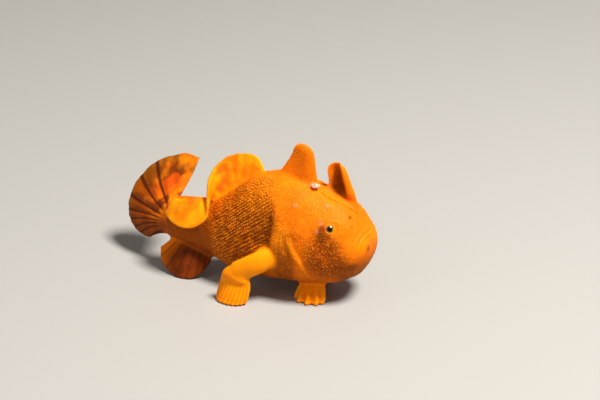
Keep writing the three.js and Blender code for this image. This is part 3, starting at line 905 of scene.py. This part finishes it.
class Wire:
    def __init__(self, paint, socket):
        self.paint = paint
        self.socket = socket

    def math(self, operation, *others):
        return self.paint.node("Math", {"operation": operation}, dict(enumerate((self, *others))))

    def __add__(self, other):
        return self.math("ADD", other)

    def __radd__(self, other):
        return self.math("ADD", other)

    def __sub__(self, other):
        return self.math("SUBTRACT", other)

    def __rsub__(self, other):
        return self.paint.node("Math", {"operation": "SUBTRACT"}, {0: other, 1: self})

    def __mul__(self, other):
        return self.math("MULTIPLY", other)

    def __rmul__(self, other):
        return self.math("MULTIPLY", other)

    def clamp(self):
        return self.paint.node("Clamp", {}, {"Value": self})

    # From 0 at low to 1 at high, smoothly; low may be the higher number.
    def step(self, low, high):
        return self.paint.node("MapRange", {"interpolation_type": "SMOOTHSTEP"},
                               {"Value": self, "From Min": low, "From Max": high})


class Paint:
    def __init__(self, name, roughness, subsurface=0.0, coat=0.0, gloss=0.07):
        self.material = bpy.data.materials.new(name)
        self.material.use_nodes = True
        self.tree = self.material.node_tree
        self.shader = self.tree.nodes["Principled BSDF"]
        self.shader.inputs["Roughness"].default_value = roughness
        self.shader.inputs["Specular IOR Level"].default_value = gloss
        self.shader.inputs["Subsurface Weight"].default_value = subsurface
        self.shader.inputs["Subsurface Radius"].default_value = (1.0, 0.3, 0.08)
        self.shader.inputs["Subsurface Scale"].default_value = 0.6 * mm
        self.shader.inputs["Coat Weight"].default_value = coat
        self.shader.inputs["Coat Roughness"].default_value = 0.04
        coordinates = self.node("TexCoord", {}, {}, "Object")
        self.place = self.node("Mapping", {}, {"Vector": coordinates, "Location": (-shiftX / mm, 0, 0),
                                               "Scale": (1 / mm, 1 / mm, 1 / mm)})

    def feed(self, socket, value):
        if isinstance(value, Wire):
            self.tree.links.new(value.socket, socket)
        elif value is not None:
            socket.default_value = value

    def node(self, kind, settings, links, output=0):
        node = self.tree.nodes.new("ShaderNode" + kind)
        for name, value in settings.items():
            setattr(node, name, value)
        for name, value in links.items():
            self.feed(node.inputs[name], value)
        return Wire(self, node.outputs[output])

    def value(self, name):
        return self.node("Attribute", {"attribute_name": name}, {}, "Fac")

    def noise(self, scale, detail=3, shift=0.0):
        where = self.place if not shift else self.node("VectorMath", {"operation": "ADD"}, {
            0: self.place, 1: (shift, shift, shift)})
        return self.node("TexNoise", {}, {"Vector": where, "Scale": scale, "Detail": detail})

    def mix(self, share, first, second):
        return self.node("Mix", {"data_type": "RGBA"}, {0: share, 6: first, 7: second}, 2)

    def finish(self, colour, roughness=None, height=None, depth=0.0):
        self.feed(self.shader.inputs["Base Color"], colour)
        self.feed(self.shader.inputs["Roughness"], roughness)
        if height is not None:
            bumped = self.node("Bump", {}, {"Strength": 1.0, "Distance": depth, "Height": height})
            self.feed(self.shader.inputs["Normal"], bumped)
        return self.material


tones = {
    "orange": (0.98, 0.215, 0.001, 1),
    "deepOrange": (0.9, 0.15, 0.001, 1),
    "amber": (1.0, 0.32, 0.001, 1),
    "brown": (0.24, 0.042, 0.001, 1),
    "yellow": (1.0, 0.34, 0.002, 1),
    "redOrange": (0.8, 0.1, 0.004, 1),
    "olive": (0.24, 0.1, 0.006, 1),
    "rayBrown": (0.07, 0.012, 0.002, 1),
    "redBrown": (0.19, 0.03, 0.002, 1),
    "tip": (1.0, 0.4, 0.02, 1),
    "pink": (0.92, 0.27, 0.17, 1),
    "palePink": (0.95, 0.6, 0.46, 1),
    "crease": (0.16, 0.024, 0.002, 1),
}


# On the flank the prickles and the bright grains stand in rows that run down towards the tail.
rowPlan = {
    "gap": 0.56,
    "rise": (0.78, 0.62),
    "bend": (0.45, -0.4),
    "swing": 0.35,
    "dash": (0.75, 1.2, 2.1),  # how the noise that breaks the rows up is squeezed along, aside, across
}


# The body's markings with its painted light and shade, the same on the skin and on its prickles.
def bodyMarkingsAndPaintedLight(paint):
    broad = paint.noise(0.14, 2)
    fine = paint.noise(0.8, 3, 5.0)
    body = paint.mix(broad.step(0.38, 0.66) * 0.6, tones["orange"], tones["deepOrange"])
    body = paint.mix(fine.step(0.55, 0.8) * 0.5, body, tones["amber"])
    # Painted light, with the arms' amber, takes the body towards amber.
    body = paint.mix(paint.value("bright") * 0.8, body, tones["amber"])
    body = paint.mix(paint.value("redder") * (0.5 + fine * 0.5), body, tones["deepOrange"])
    # Painted shade, with the dark blots and smudges, takes the body towards brown.
    body = paint.mix(paint.value("shade") * (0.75 + 0.5 * fine).clamp(), body, tones["brown"])
    lit = litGrains(paint)
    # Brown between the bright grains and rows: darker skin, with painted shade between the grains.
    body = paint.mix((1 - lit) * 0.72, body, tones["brown"])
    body = paint.mix(paint.value("pink"), body, tones["pink"])
    body = paint.mix(paint.value("crease"), body, tones["crease"])
    return paint.mix(paint.value("pit"), body, tones["rayBrown"]), lit


# Where the skin is granular: 1 on a bright grain, 0 between. On the flank they stand in rows.
def litGrains(paint):
    ahead, aside, high = (paint.node("SeparateXYZ", {}, {"Vector": paint.place}, k) for k in range(3))
    bend = (ahead * rowPlan["bend"][0] + high * rowPlan["bend"][1]).math("SINE")
    across = high * rowPlan["rise"][0] - ahead * rowPlan["rise"][1] + bend * rowPlan["swing"]
    along = high * rowPlan["rise"][1] + ahead * rowPlan["rise"][0]
    squeezed = (way * share for way, share in zip((along, aside, across), rowPlan["dash"]))
    squeezed = paint.node("CombineXYZ", {}, dict(zip("XYZ", squeezed)))
    dashes = paint.node("TexNoise", {}, {"Vector": squeezed, "Scale": 1.0, "Detail": 1.5})
    wave = (across * (2 * math.pi / rowPlan["gap"])).math("COSINE")
    streaks = (0.35 * wave + 4.0 * dashes).step(1.55, 2.6)
    cells = paint.node("TexVoronoi", {"feature": "SMOOTH_F1"}, {
        "Vector": paint.place, "Scale": 1.9, "Smoothness": 0.2})
    return (1 - paint.value("rows") * (1 - streaks)) * (1 - paint.value("dots") * cells.step(0.25, 0.48))


# Blotches and rays on the fins, by ray number and by height, with painted shade and light on the
# anal fin and painted shade in the hands' grooves.
def finMarkings(paint, body):
    rays = paint.value("rayNumber")
    height = paint.value("finHeight")
    nearLine = (rays * (2 * math.pi)).math("COSINE")
    blotch = paint.noise(0.32, 2, 11.0)
    patch = paint.noise(0.22, 2, 31.0)

    patched = patch + 0.22 * paint.value("redder") - 0.25 * paint.value("yellower")
    mottled = blotch - 0.12 * paint.value("redder") + 0.15 * paint.value("yellower")

    dorsal = paint.mix(mottled.step(0.4, 0.62), tones["orange"], tones["yellow"])
    dorsal = paint.mix(patched.step(0.52, 0.7) * 0.8, dorsal, tones["redOrange"])
    dorsal = paint.mix(height.step(0.96, 1.0) * 0.55, dorsal, tones["olive"])

    tail = paint.mix(mottled.step(0.36, 0.66), tones["redBrown"], tones["orange"])
    tail = paint.mix(patched.step(0.54, 0.7) * 0.7, tail, tones["redOrange"])
    tail = paint.mix((patch.step(0.52, 0.34) * height.step(0.2, 0.6)) * 0.5, tail, tones["olive"])
    tail = paint.mix(rays.step(0.5, 3.0) * height.step(0.25, 0.9) * 0.75, tail, tones["brown"])
    tail = paint.mix(rays.step(2.5, 8.0) * 0.8, tail, tones["brown"])
    tail = paint.mix(height.step(0.9, 1.0) * 0.5, tail, tones["olive"])
    lines = nearLine.step(0.6, 0.95) * rays.step(1.45, 1.7) * height.step(0.1, 0.25)
    tail = paint.mix(lines * 0.9, tail, tones["rayBrown"])

    # The anal fin: dark red-brown, partly painted shade, and orange towards its rear, a painted rim of
    # light.
    anal = paint.mix(blotch.step(0.4, 0.62) * 0.6, tones["redBrown"], tones["rayBrown"])
    anal = paint.mix(paint.value("finAlong").step(0.62, 1.0) * 0.9, anal, tones["orange"])
    anal = paint.mix(nearLine.step(0.7, 0.98) * 0.5, anal, tones["rayBrown"])

    cloud = paint.noise(0.5, 3, 19.0).step(0.3, 0.7)
    hand = paint.mix(cloud * 0.5 + 0.4, tones["orange"], tones["amber"])
    # Darker along the grooves between the rays: painted shade.
    hand = paint.mix(nearLine.step(0.2, 1.0) * height.step(0.35, 0.7) * 0.5, hand, tones["deepOrange"])
    colour = body
    for name, own in (("dorsal", dorsal), ("caudal", tail), ("anal", anal), ("hands", hand), ("feet", hand)):
        colour = paint.mix(paint.value(name), colour, own)
    return colour


def skinMaterial():
    paint = Paint("frogfishSkin", 0.5, subsurface=0.12)
    grains = paint.node("TexVoronoi", {"feature": "SMOOTH_F1"}, {
        "Vector": paint.place, "Scale": 2.4, "Smoothness": 0.35})
    grainy = paint.value("grain")
    body = bodyMarkingsAndPaintedLight(paint)[0]
    # Browner between the skin's own grains: darker skin, with painted shade between them.
    between = grains.step(0.28, 0.55) * grainy
    body = paint.mix(between * 0.25, body, tones["brown"])
    colour = finMarkings(paint, body)
    fine = paint.noise(3.2, 4)
    height = (1 - grains) * grainy * 1.6 + fine * 0.35
    return paint.finish(colour, 0.42 + 0.16 * fine, height, 0.12 * mm)


skinMesh.materials.clear()
skinMesh.materials.append(skinMaterial())
print("skin painted")

# Prickles: short cones in pairs all over the body, spines and arms, none on the fins' thin skin.

pricklePlan = {
    "sides": 5,
    # the rest of the shape in prickle lengths
    "rings": ((-0.35, 1.0, 0.05), (0.3, 0.85, 0.12)),  # height, width and how far apart
    "thick": 0.38,  # half width of a point
    "spread": 0.34,  # how far the two points part
    "patch": 0.0015,
    "pieces": 4,
    "candidates": 8,
    "length": {"all": 0.23, "face": -0.11, "belly": -0.08, "stalk": -0.08, "flank": 0.15},
    "spineLength": 0.16,
    "armLength": 0.1,
    "spacing": {"all": 0.33, "face": -0.09, "stalk": -0.02, "flank": 0.07},
    "armSpacing": 0.28,
    "eyeRing": (1.45 * mm, 1.1 * mm),
    "eyeOut": 0.8 * mm,
    "spineAbove": 25.0,
    "turnSpread": 0.22,
    "leanSpread": 0.08,
    "lengthSpread": (0.8, 1.25),
}
# Where their length, spacing and lean change.
stretches.update({
    "face": (14.5, 18.5),
    "bellyTop": (7.0, 4.0),
    "bellyRear": (-10.0, -14.0),
    "stalk": (-9.0, -14.0),
})


def prickleShape():
    shape = bmesh.new()
    for way in (-1, 1):
        rings = []
        for height, width, aside in pricklePlan["rings"]:
            spot = Matrix.Translation((0, way * aside, height))
            ring = bmesh.ops.create_circle(shape, segments=pricklePlan["sides"],
                                           radius=pricklePlan["thick"] * width, matrix=spot)
            rings.append(ring["verts"])
        lower, upper = rings
        loops = [e for e in shape.edges if all(v in lower or v in upper for v in e.verts)]
        bmesh.ops.bridge_loops(shape, edges=loops)
        tip = shape.verts.new((0, way * pricklePlan["spread"], 1))
        for k, vert in enumerate(upper):
            shape.faces.new((vert, upper[(k + 1) % len(upper)], tip))
    bmesh.ops.recalc_face_normals(shape, faces=shape.faces)
    bmesh.ops.triangulate(shape, faces=shape.faces)
    corners = np.array([v.co for v in shape.verts])
    faces = np.array([[v.index for v in f.verts] for f in shape.faces])
    shape.free()
    return corners, faces


# Chosen spots at least their own spacing apart, those of lowest rank first. Kept ones are looked
# up by the cube of space that they lie in.
def spread(spots, spacing, rank):
    kept = {}
    chosen = []
    around = [(i, j, k) for i in (-1, 0, 1) for j in (-1, 0, 1) for k in (-1, 0, 1)]
    cells = np.floor(spots / spacing.max()).astype(int)
    listed = spots.tolist()
    limits = (spacing**2).tolist()
    for n in np.argsort(rank).tolist():
        x, y, z = listed[n]
        i, j, k = cells[n].tolist()
        limit = limits[n]
        close = (spot for a, b, c in around for spot in kept.get((i + a, j + b, k + c), ()))
        if not any((px - x) ** 2 + (py - y) ** 2 + (pz - z) ** 2 < limit for px, py, pz in close):
            kept.setdefault((i, j, k), []).append((x, y, z))
            chosen.append(n)
    return np.array(chosen)


# What each point of the skin grows: length, spacing and lean, and the way the prickles lie.
def prickleFields():
    body, spines, arms = shares["body"], shares["spines"], shares["arms"]
    x, y, z = fish.T
    stalk = over("stalk", x)
    grown = {
        "all": np.ones(len(points)),
        "face": over("face", x),
        "belly": over("bellyTop", z) * (1 - over("bellyRear", x)),
        "stalk": stalk,
        "flank": flankShare * (1 - stalk),
    }
    length = total(pricklePlan["length"], grown) * body
    length = length + pricklePlan["spineLength"] * spines + pricklePlan["armLength"] * arms
    spacing = total(pricklePlan["spacing"], grown) - 0.04 * spines
    spacing = np.where(body + spines > 0.5, spacing, pricklePlan["armSpacing"])
    bare = np.clip(1.6 * bump(mouthGap, 0.5 * mm) + 1.5 * zones["leaf"], 0, 1)
    for side in (-1, 1):
        centre, axis = eyeFrame(side)
        gap = np.linalg.norm(points - centre - axis * pricklePlan["eyeOut"], axis=1)
        bare = np.maximum(bare, smoothstep(*pricklePlan["eyeRing"], gap))
    back = np.stack([-1 + 0 * x, 0 * x, -0.25 - 0.5 * flankShare], 1)
    back[(spines > 0.5) & (z > pricklePlan["spineAbove"])] = (-0.4, 0, 0.9)
    return {
        "length": length,
        "spacing": spacing,
        "grows": np.where(body + spines + arms > 0.6, 1 - bare, 0),
        "lean": 0.65 + 0.35 * flankShare - 0.2 * grown["face"],
        "back": back,
    }


def skinTriangles():
    skinMesh.calc_loop_triangles()
    count = len(skinMesh.loop_triangles)
    verts = np.empty(count * 3, np.int32)
    loops = np.empty(count * 3, np.int32)
    skinMesh.loop_triangles.foreach_get("vertices", verts)
    skinMesh.loop_triangles.foreach_get("loops", loops)
    atlas = np.empty(len(skinMesh.loops) * 2, np.float32)
    skinMesh.uv_layers["OFBake"].data.foreach_get("uv", atlas)
    return verts.reshape(-1, 3), atlas.reshape(-1, 2)[loops].reshape(-1, 3, 2).astype(float)


# Values of the skin's points, read at places inside its triangles.
def blended(values, corners, weights):
    return np.einsum("nk,nk...->n...", weights, values[corners])


# Many random places on the skin, denser where prickles stand closer.
def candidatePlaces(rng, fields, verts):
    a, b, c = (points[verts[:, k]] for k in range(3))
    area = np.linalg.norm(np.cross(b - a, c - a), axis=1) / 2 / mm**2
    wanted = area * fields["grows"][verts].mean(1) / fields["spacing"][verts].mean(1) ** 2
    count = int(wanted.sum() * pricklePlan["candidates"])
    chosen = rng.choice(len(verts), count, p=wanted / wanted.sum())
    u, v = rng.random(count), rng.random(count)
    flip = u + v > 1
    u[flip], v[flip] = 1 - u[flip], 1 - v[flip]
    return chosen, np.stack([1 - u - v, u, v], 1)


# Which of them are kept: far enough apart and, on the flank, first those on a row.
def keptPlaces(rng, fields, corners, weights):
    ahead, _, high = blended(fish, corners, weights).T
    bend = np.sin(ahead * rowPlan["bend"][0] + high * rowPlan["bend"][1])
    row = high * rowPlan["rise"][0] - ahead * rowPlan["rise"][1] + bend * rowPlan["swing"]
    row = row / rowPlan["gap"]
    offRow = np.abs(row - np.round(row)) * (blended(flankShare, corners, weights) > 0.3)
    rank = rng.random(len(corners)) + 3 * offRow
    return spread(blended(points, corners, weights), blended(fields["spacing"], corners, weights) * mm, rank)


# Each prickle's own axes: forward, across and upward.
def prickleAxes(rng, fields, corners, weights):
    count = len(corners)
    normal = unit(blended(normals, corners, weights))
    back = unit(blended(fields["back"], corners, weights))
    back = unit(back - np.einsum("ij,ij->i", back, normal)[:, None] * normal)
    turn = rng.normal(0, pricklePlan["turnSpread"], count)
    across = np.cross(normal, back)
    back = back * np.cos(turn)[:, None] + across * np.sin(turn)[:, None]
    across = np.cross(normal, back)
    lean = blended(fields["lean"], corners, weights) + rng.normal(0, pricklePlan["leanSpread"], count)
    upward = normal * np.cos(lean)[:, None] + back * np.sin(lean)[:, None]
    return np.stack([np.cross(across, upward), across, upward])


def growPrickles():
    rng = np.random.default_rng(seed)
    fields = prickleFields()
    verts, atlas = skinTriangles()
    chosen, weights = candidatePlaces(rng, fields, verts)
    keep = keptPlaces(rng, fields, verts[chosen], weights)
    chosen, weights = chosen[keep], weights[keep]
    corners = verts[chosen]
    axes = prickleAxes(rng, fields, corners, weights)
    length = blended(fields["length"], corners, weights) * mm
    length = length * rng.uniform(*pricklePlan["lengthSpread"], len(keep))
    form, faces = prickleShape()
    placed = sum(form[:, k, None] * axes[k][:, None] for k in range(3))
    placed = blended(points, corners, weights)[:, None] + length[:, None, None] * placed
    root = np.einsum("nk,nkj->nj", weights, atlas[chosen])
    patches = root[:, None] + form[:, :2] / np.abs(form[:, :2]).max() * pricklePlan["patch"]
    tip = smoothstep(-0.1, 1.0, form[:, 2])
    for part in range(pricklePlan["pieces"]):
        own = np.arange(part, len(keep), pricklePlan["pieces"])
        carried = {name: blended(values, corners[own], weights[own])
                   for name, values in carriedValues.items()}
        addPrickles("prickles_" + "abcdef"[part], placed[own], faces, patches[own], tip, carried)
    print("prickles", len(keep), "in", pricklePlan["pieces"], "pieces,", len(faces) * len(keep), "triangles")


def addPrickles(name, placed, faces, patches, tip, carried):
    count, each = placed.shape[:2]
    mesh = bpy.data.meshes.new(name)
    mesh.vertices.add(count * each)
    mesh.vertices.foreach_set("co", placed.ravel())
    corner = (faces[None] + each * np.arange(count)[:, None, None]).reshape(-1)
    mesh.loops.add(len(corner))
    mesh.loops.foreach_set("vertex_index", corner.astype(np.int32))
    mesh.polygons.add(len(corner) // 3)
    mesh.polygons.foreach_set("loop_start", np.arange(0, len(corner), 3, dtype=np.int32))
    mesh.update(calc_edges=True)
    layer = mesh.uv_layers.new(name="OFBake")
    layer.data.foreach_set("uv", patches.reshape(-1, 2)[corner].ravel().astype(np.float32))
    storeValues(mesh, "tip", np.tile(tip, count))
    for key, values in carried.items():
        storeValues(mesh, key, np.repeat(values, each))
    mesh.shade_smooth()
    mesh.materials.append(prickleMaterial)
    piece = addObject(name, mesh)
    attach(piece, "root")


def paintPrickles():
    paint = Paint("frogfishPrickles", 0.45, subsurface=0.1)
    body, lit = bodyMarkingsAndPaintedLight(paint)
    # The tips are paler, with painted highlight where the grains are bright.
    light = paint.mix(paint.value("pale") * lit, body, tones["tip"])
    colour = paint.mix(paint.value("tip").step(0.0, 0.6), body, light)
    return paint.finish(colour)


prickleMaterial = paintPrickles()
growPrickles()

# Eyes: a ball with a domed cornea, a dark pupil and a thin gold iris.

eyeShape = {
    "iris": 0.74 * mm,
    "front": 0.7 * mm,
    "dome": 0.22 * mm,
    "steps": 48,
    "domeRings": 14,
    "ballRings": 15,
    "ballStart": 0.92,  # radians from the eye's axis
    "low": (-0.5, 0, 1.0),  # away from where the gold is darkest
}
eyeTones = {
    "pupil": (0.004, 0.003, 0.003, 1),
    "gold": (0.7, 0.34, 0.02, 1),
    "fleck": (0.12, 0.04, 0.004, 1),
    "rim": (0.3, 0.07, 0.005, 1),
    "shadow": (0.06, 0.02, 0.003, 1),
    "ball": (0.12, 0.03, 0.004, 1),
}


def addEye(side):
    centre, axis = eyeFrame(side)
    name = "eyeball_left" if side > 0 else "eyeball_right"
    shape = bmesh.new()
    profile = []
    for radius in np.linspace(0, eyeShape["iris"], eyeShape["domeRings"]):
        lens = eyeShape["dome"] * (1 - (radius / eyeShape["iris"]) ** 2)
        profile.append(shape.verts.new((radius, 0, eyeShape["front"] + lens)))
    for angle in np.linspace(eyeShape["ballStart"], math.pi, eyeShape["ballRings"]):
        radius = eyeRadius * math.sin(angle) if angle < math.pi else 0
        profile.append(shape.verts.new((radius, 0, min(eyeRadius * math.cos(angle), eyeShape["front"]))))
    outline = [shape.edges.new(pair) for pair in zip(profile, profile[1:])]
    bmesh.ops.spin(shape, geom=profile + outline, cent=(0, 0, 0), axis=(0, 0, 1), angle=math.tau,
                   steps=eyeShape["steps"], use_merge=True)
    bmesh.ops.remove_doubles(shape, verts=shape.verts, dist=0.0001 * mm)
    bmesh.ops.recalc_face_normals(shape, faces=shape.faces)
    turn = Vector(axis).to_track_quat("Z", "Y").to_matrix().to_4x4()
    bmesh.ops.transform(shape, matrix=Matrix.Translation(Vector(centre)) @ turn, verts=shape.verts)
    mesh = finishedMesh(shape, name)
    reach = readPoints(mesh) - centre
    out = reach @ axis
    aside = reach - out[:, None] * axis
    storeValues(mesh, "aside", np.linalg.norm(aside, axis=1) / mm)
    storeValues(mesh, "front", (out > 0).astype(float))
    low = unit(np.cross(axis, np.cross(axis, np.array(eyeShape["low"]))))
    storeValues(mesh, "low", aside @ low / mm)
    mesh.shade_smooth()
    mesh.materials.append(eyeMaterial)
    piece = addObject(name, mesh)
    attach(piece, "root")
    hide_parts("eye_left" if side > 0 else "eye_right")


def paintEye():
    paint = Paint("frogfishEye", 0.25, coat=0.6)
    aside = paint.value("aside")
    flecks = paint.noise(5.0, 3)
    gold = paint.mix(flecks.step(0.35, 0.65), eyeTones["gold"], eyeTones["fleck"])
    gold = paint.mix(aside.step(0.6, 0.7) * 0.7, gold, eyeTones["rim"])
    gold = paint.mix(paint.value("low").step(0.2, -0.6) * 0.8, gold, eyeTones["shadow"])
    edge = aside.step(0.52, 0.56)
    colour = paint.mix(edge, eyeTones["pupil"], gold)
    behindIris = (aside.step(0.6, 0.72) + (1 - paint.value("front"))).clamp()
    colour = paint.mix(behindIris, colour, eyeTones["ball"])
    return paint.finish(colour, 0.3 + 0.15 * edge)


eyeMaterial = paintEye()
for side in (-1, 1):
    addEye(side)
print("eyes added")

# The fishing rod, thinner towards its end, and the lure: a soft pad with fine threads.

lurePlan = {
    "rod": [[18.6, -0.4, 19.1], [17.5, -1.4, 20.6], [15.5, -2.1, 22.0], [13.1, -2.3, 22.9],
            [10.6, -1.9, 23.8]],
    "rings": 40,
    "sides": 12,
    "thick": 0.19 * mm,
    "thin": 0.11 * mm,
    "lift": 0.3,  # of its own radius, clear of the skin
    "rounds": 6,
    "knots": (0.1, 1.3),  # how much the radius swells, and how often along the rings
    "pad": (0.78, 0.56, 0.4),
    "threads": 46,
    "threadRings": 6,
    "threadSides": 6,
    "threadRoot": 0.85,  # of the pad's half size
    "threadReach": (0.2 * mm, 0.42 * mm),
    "threadThick": (0.075, 0.02),
    "threadWay": (-0.4, 0, 0.15),
    "threadBend": (-0.35, 0, 0.1),
}


def tube(shape, line, radii, sides):
    ahead = unit(np.gradient(line, axis=0))
    rings = []
    for spot, direction, radius in zip(line, ahead, radii):
        turn = Vector(direction).to_track_quat("Z", "Y").to_matrix().to_4x4()
        ring = bmesh.ops.create_circle(shape, segments=sides, radius=radius,
                                       matrix=Matrix.Translation(Vector(spot)) @ turn)
        rings.append(ring["verts"])
    for lower, upper in zip(rings, rings[1:]):
        for k in range(sides):
            shape.faces.new((lower[k], lower[(k + 1) % sides], upper[(k + 1) % sides], upper[k]))
    for ring in (rings[0], rings[-1]):
        shape.faces.new(ring)


def addLurePiece(name, shape, material, node):
    bmesh.ops.recalc_face_normals(shape, faces=shape.faces)
    mesh = finishedMesh(shape, name)
    mesh.shade_smooth()
    mesh.materials.append(material)
    piece = addObject(name, mesh)
    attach(piece, "root")
    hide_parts(node)


def paintSoft(name, first, second):
    paint = Paint(name, 0.5, subsurface=0.25)
    colour = paint.mix(paint.noise(1.4, 3).step(0.38, 0.62), first, second)
    return paint.finish(colour, None, paint.noise(6.0, 3), 0.05 * mm)


# The rod lies on the skin, beside the second spine.
def addRod():
    line = curveThrough(place(lurePlan["rod"]), np.linspace(0, 1, lurePlan["rings"]))
    radii = np.linspace(lurePlan["thick"], lurePlan["thin"], lurePlan["rings"])
    skinTree = BVHTree.FromPolygons(points.tolist(), [list(p.vertices) for p in skinMesh.polygons])
    for k in range(lurePlan["rings"]):
        spot, normal = skinTree.find_nearest(Vector(line[k]))[:2]
        line[k] = np.array(spot + normal * radii[k] * lurePlan["lift"])
    links = np.stack([np.arange(len(line) - 1), np.arange(1, len(line))], 1)
    line = relax(line, links, lurePlan["rounds"])
    swell, often = lurePlan["knots"]
    radii = radii * (1 + swell * np.sin(np.arange(lurePlan["rings"]) * often))
    shape = bmesh.new()
    tube(shape, line, radii, lurePlan["sides"])
    material = paintSoft("rodSkin", tones["orange"], tones["deepOrange"])
    addLurePiece("fishing_rod", shape, material, "illicium")


def addPad():
    rng = np.random.default_rng(seed)
    low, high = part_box("esca")
    centre = np.array((low + high) / 2)
    size = np.array(lurePlan["pad"]) * mm
    shape = bmesh.new()
    bmesh.ops.create_icosphere(shape, subdivisions=4, radius=1)
    for v in shape.verts:
        d = v.co.normalized()
        lobes = 0.12 * math.sin(5 * d.x + 2) * math.sin(6 * d.y + 1) + 0.07 * math.sin(11 * d.z + 7 * d.x)
        v.co = Vector(centre + np.array(d) * size * (1 + lobes))
    for _ in range(lurePlan["threads"]):
        d = unit(rng.normal(0, 1, 3) * (1, 1, 0.7) + lurePlan["threadWay"])
        root = centre + d * size * lurePlan["threadRoot"]
        bend = np.array(lurePlan["threadBend"]) + rng.normal(0, 0.15, 3)
        reach = rng.uniform(*lurePlan["threadReach"])
        t = np.linspace(0, 1, lurePlan["threadRings"])[:, None]
        thread = root + d * reach * t + bend * reach * t**2
        radii = np.linspace(*lurePlan["threadThick"], lurePlan["threadRings"]) * mm
        tube(shape, thread, radii, lurePlan["threadSides"])
    material = paintSoft("lureSkin", tones["pink"], tones["palePink"])
    addLurePiece("lure_pad", shape, material, "esca")


addRod()
addPad()
print("rod and lure added")

# Camera, floor and light

viewPlan = {
    "azimuth": math.radians(20),
    "elevation": math.radians(25),
    "distance": 350 * mm,
    "lens": 105,
    "middle": (shiftX, 0, 12 * mm),
    "aside": 5.3 * mm,  # how far left of the picture's middle it is seen
    "below": 6.24 * mm,
}


def addCamera():
    a, e = viewPlan["azimuth"], viewPlan["elevation"]
    right = Vector((math.cos(a), math.sin(a), 0))
    up = Vector((-math.sin(a) * math.sin(e), math.cos(a) * math.sin(e), math.cos(e)))
    back = right.cross(up)
    target = Vector(viewPlan["middle"]) + right * viewPlan["aside"] + up * viewPlan["below"]
    lens = bpy.data.cameras.new("camera")
    lens.lens = viewPlan["lens"]
    lens.clip_start = 0.01
    camera = bpy.data.objects.new("camera", lens)
    bpy.context.scene.collection.objects.link(camera)
    camera.matrix_world = Matrix.Translation(target + back * viewPlan["distance"]) @ Matrix(
        (right, up, back)).transposed().to_4x4()
    bpy.context.scene.camera = camera
    return right, up, back


right, up, back = addCamera()


def addLight(name, direction, distance, size, power, colour):
    light = bpy.data.lights.new(name, "AREA")
    light.shape = "DISK"
    light.size = size
    light.energy = power
    light.color = colour
    lamp = bpy.data.objects.new(name, light)
    bpy.context.scene.collection.objects.link(lamp)
    lamp.location = Vector(studioPlan["middle"]) + direction.normalized() * distance
    lamp.rotation_euler = direction.to_track_quat("Z", "Y").to_euler()


studioPlan = {
    "middle": (0, 0, 12 * mm),
    "key": {"distance": 0.6, "size": 0.16, "power": 7.3, "colour": (1, 0.97, 0.92)},
    "fill": {"distance": 0.8, "size": 0.6, "power": 0.7, "colour": (1, 0.97, 0.93)},
    "sky": (1, 0.96, 0.9, 1),
    "skyStrength": 0.22,
    "floorSize": 3,  # half of its width, in metres
    "floorTone": (0.37, 0.36, 0.34, 1),
    "floorRoughness": 0.9,
}
addLight("key", right * 0.4 + up * 0.72 + back * 0.7, **studioPlan["key"])
addLight("fill", right * -0.7 + up * 0.3 + back * 0.7, **studioPlan["fill"])

world = bpy.data.worlds.new("studio")
world.use_nodes = True
sky = world.node_tree.nodes["Background"]
sky.inputs["Color"].default_value = studioPlan["sky"]
sky.inputs["Strength"].default_value = studioPlan["skyStrength"]
bpy.context.scene.world = world
bpy.context.scene.view_settings.view_transform = "Standard"

shape = bmesh.new()
bmesh.ops.create_grid(shape, x_segments=1, y_segments=1, size=studioPlan["floorSize"])
floor = addObject("floor", finishedMesh(shape, "floor"))
paper = bpy.data.materials.new("paleFloor")
paper.use_nodes = True
plain = paper.node_tree.nodes["Principled BSDF"]
plain.inputs["Base Color"].default_value = studioPlan["floorTone"]
plain.inputs["Roughness"].default_value = studioPlan["floorRoughness"]
floor.data.materials.append(paper)
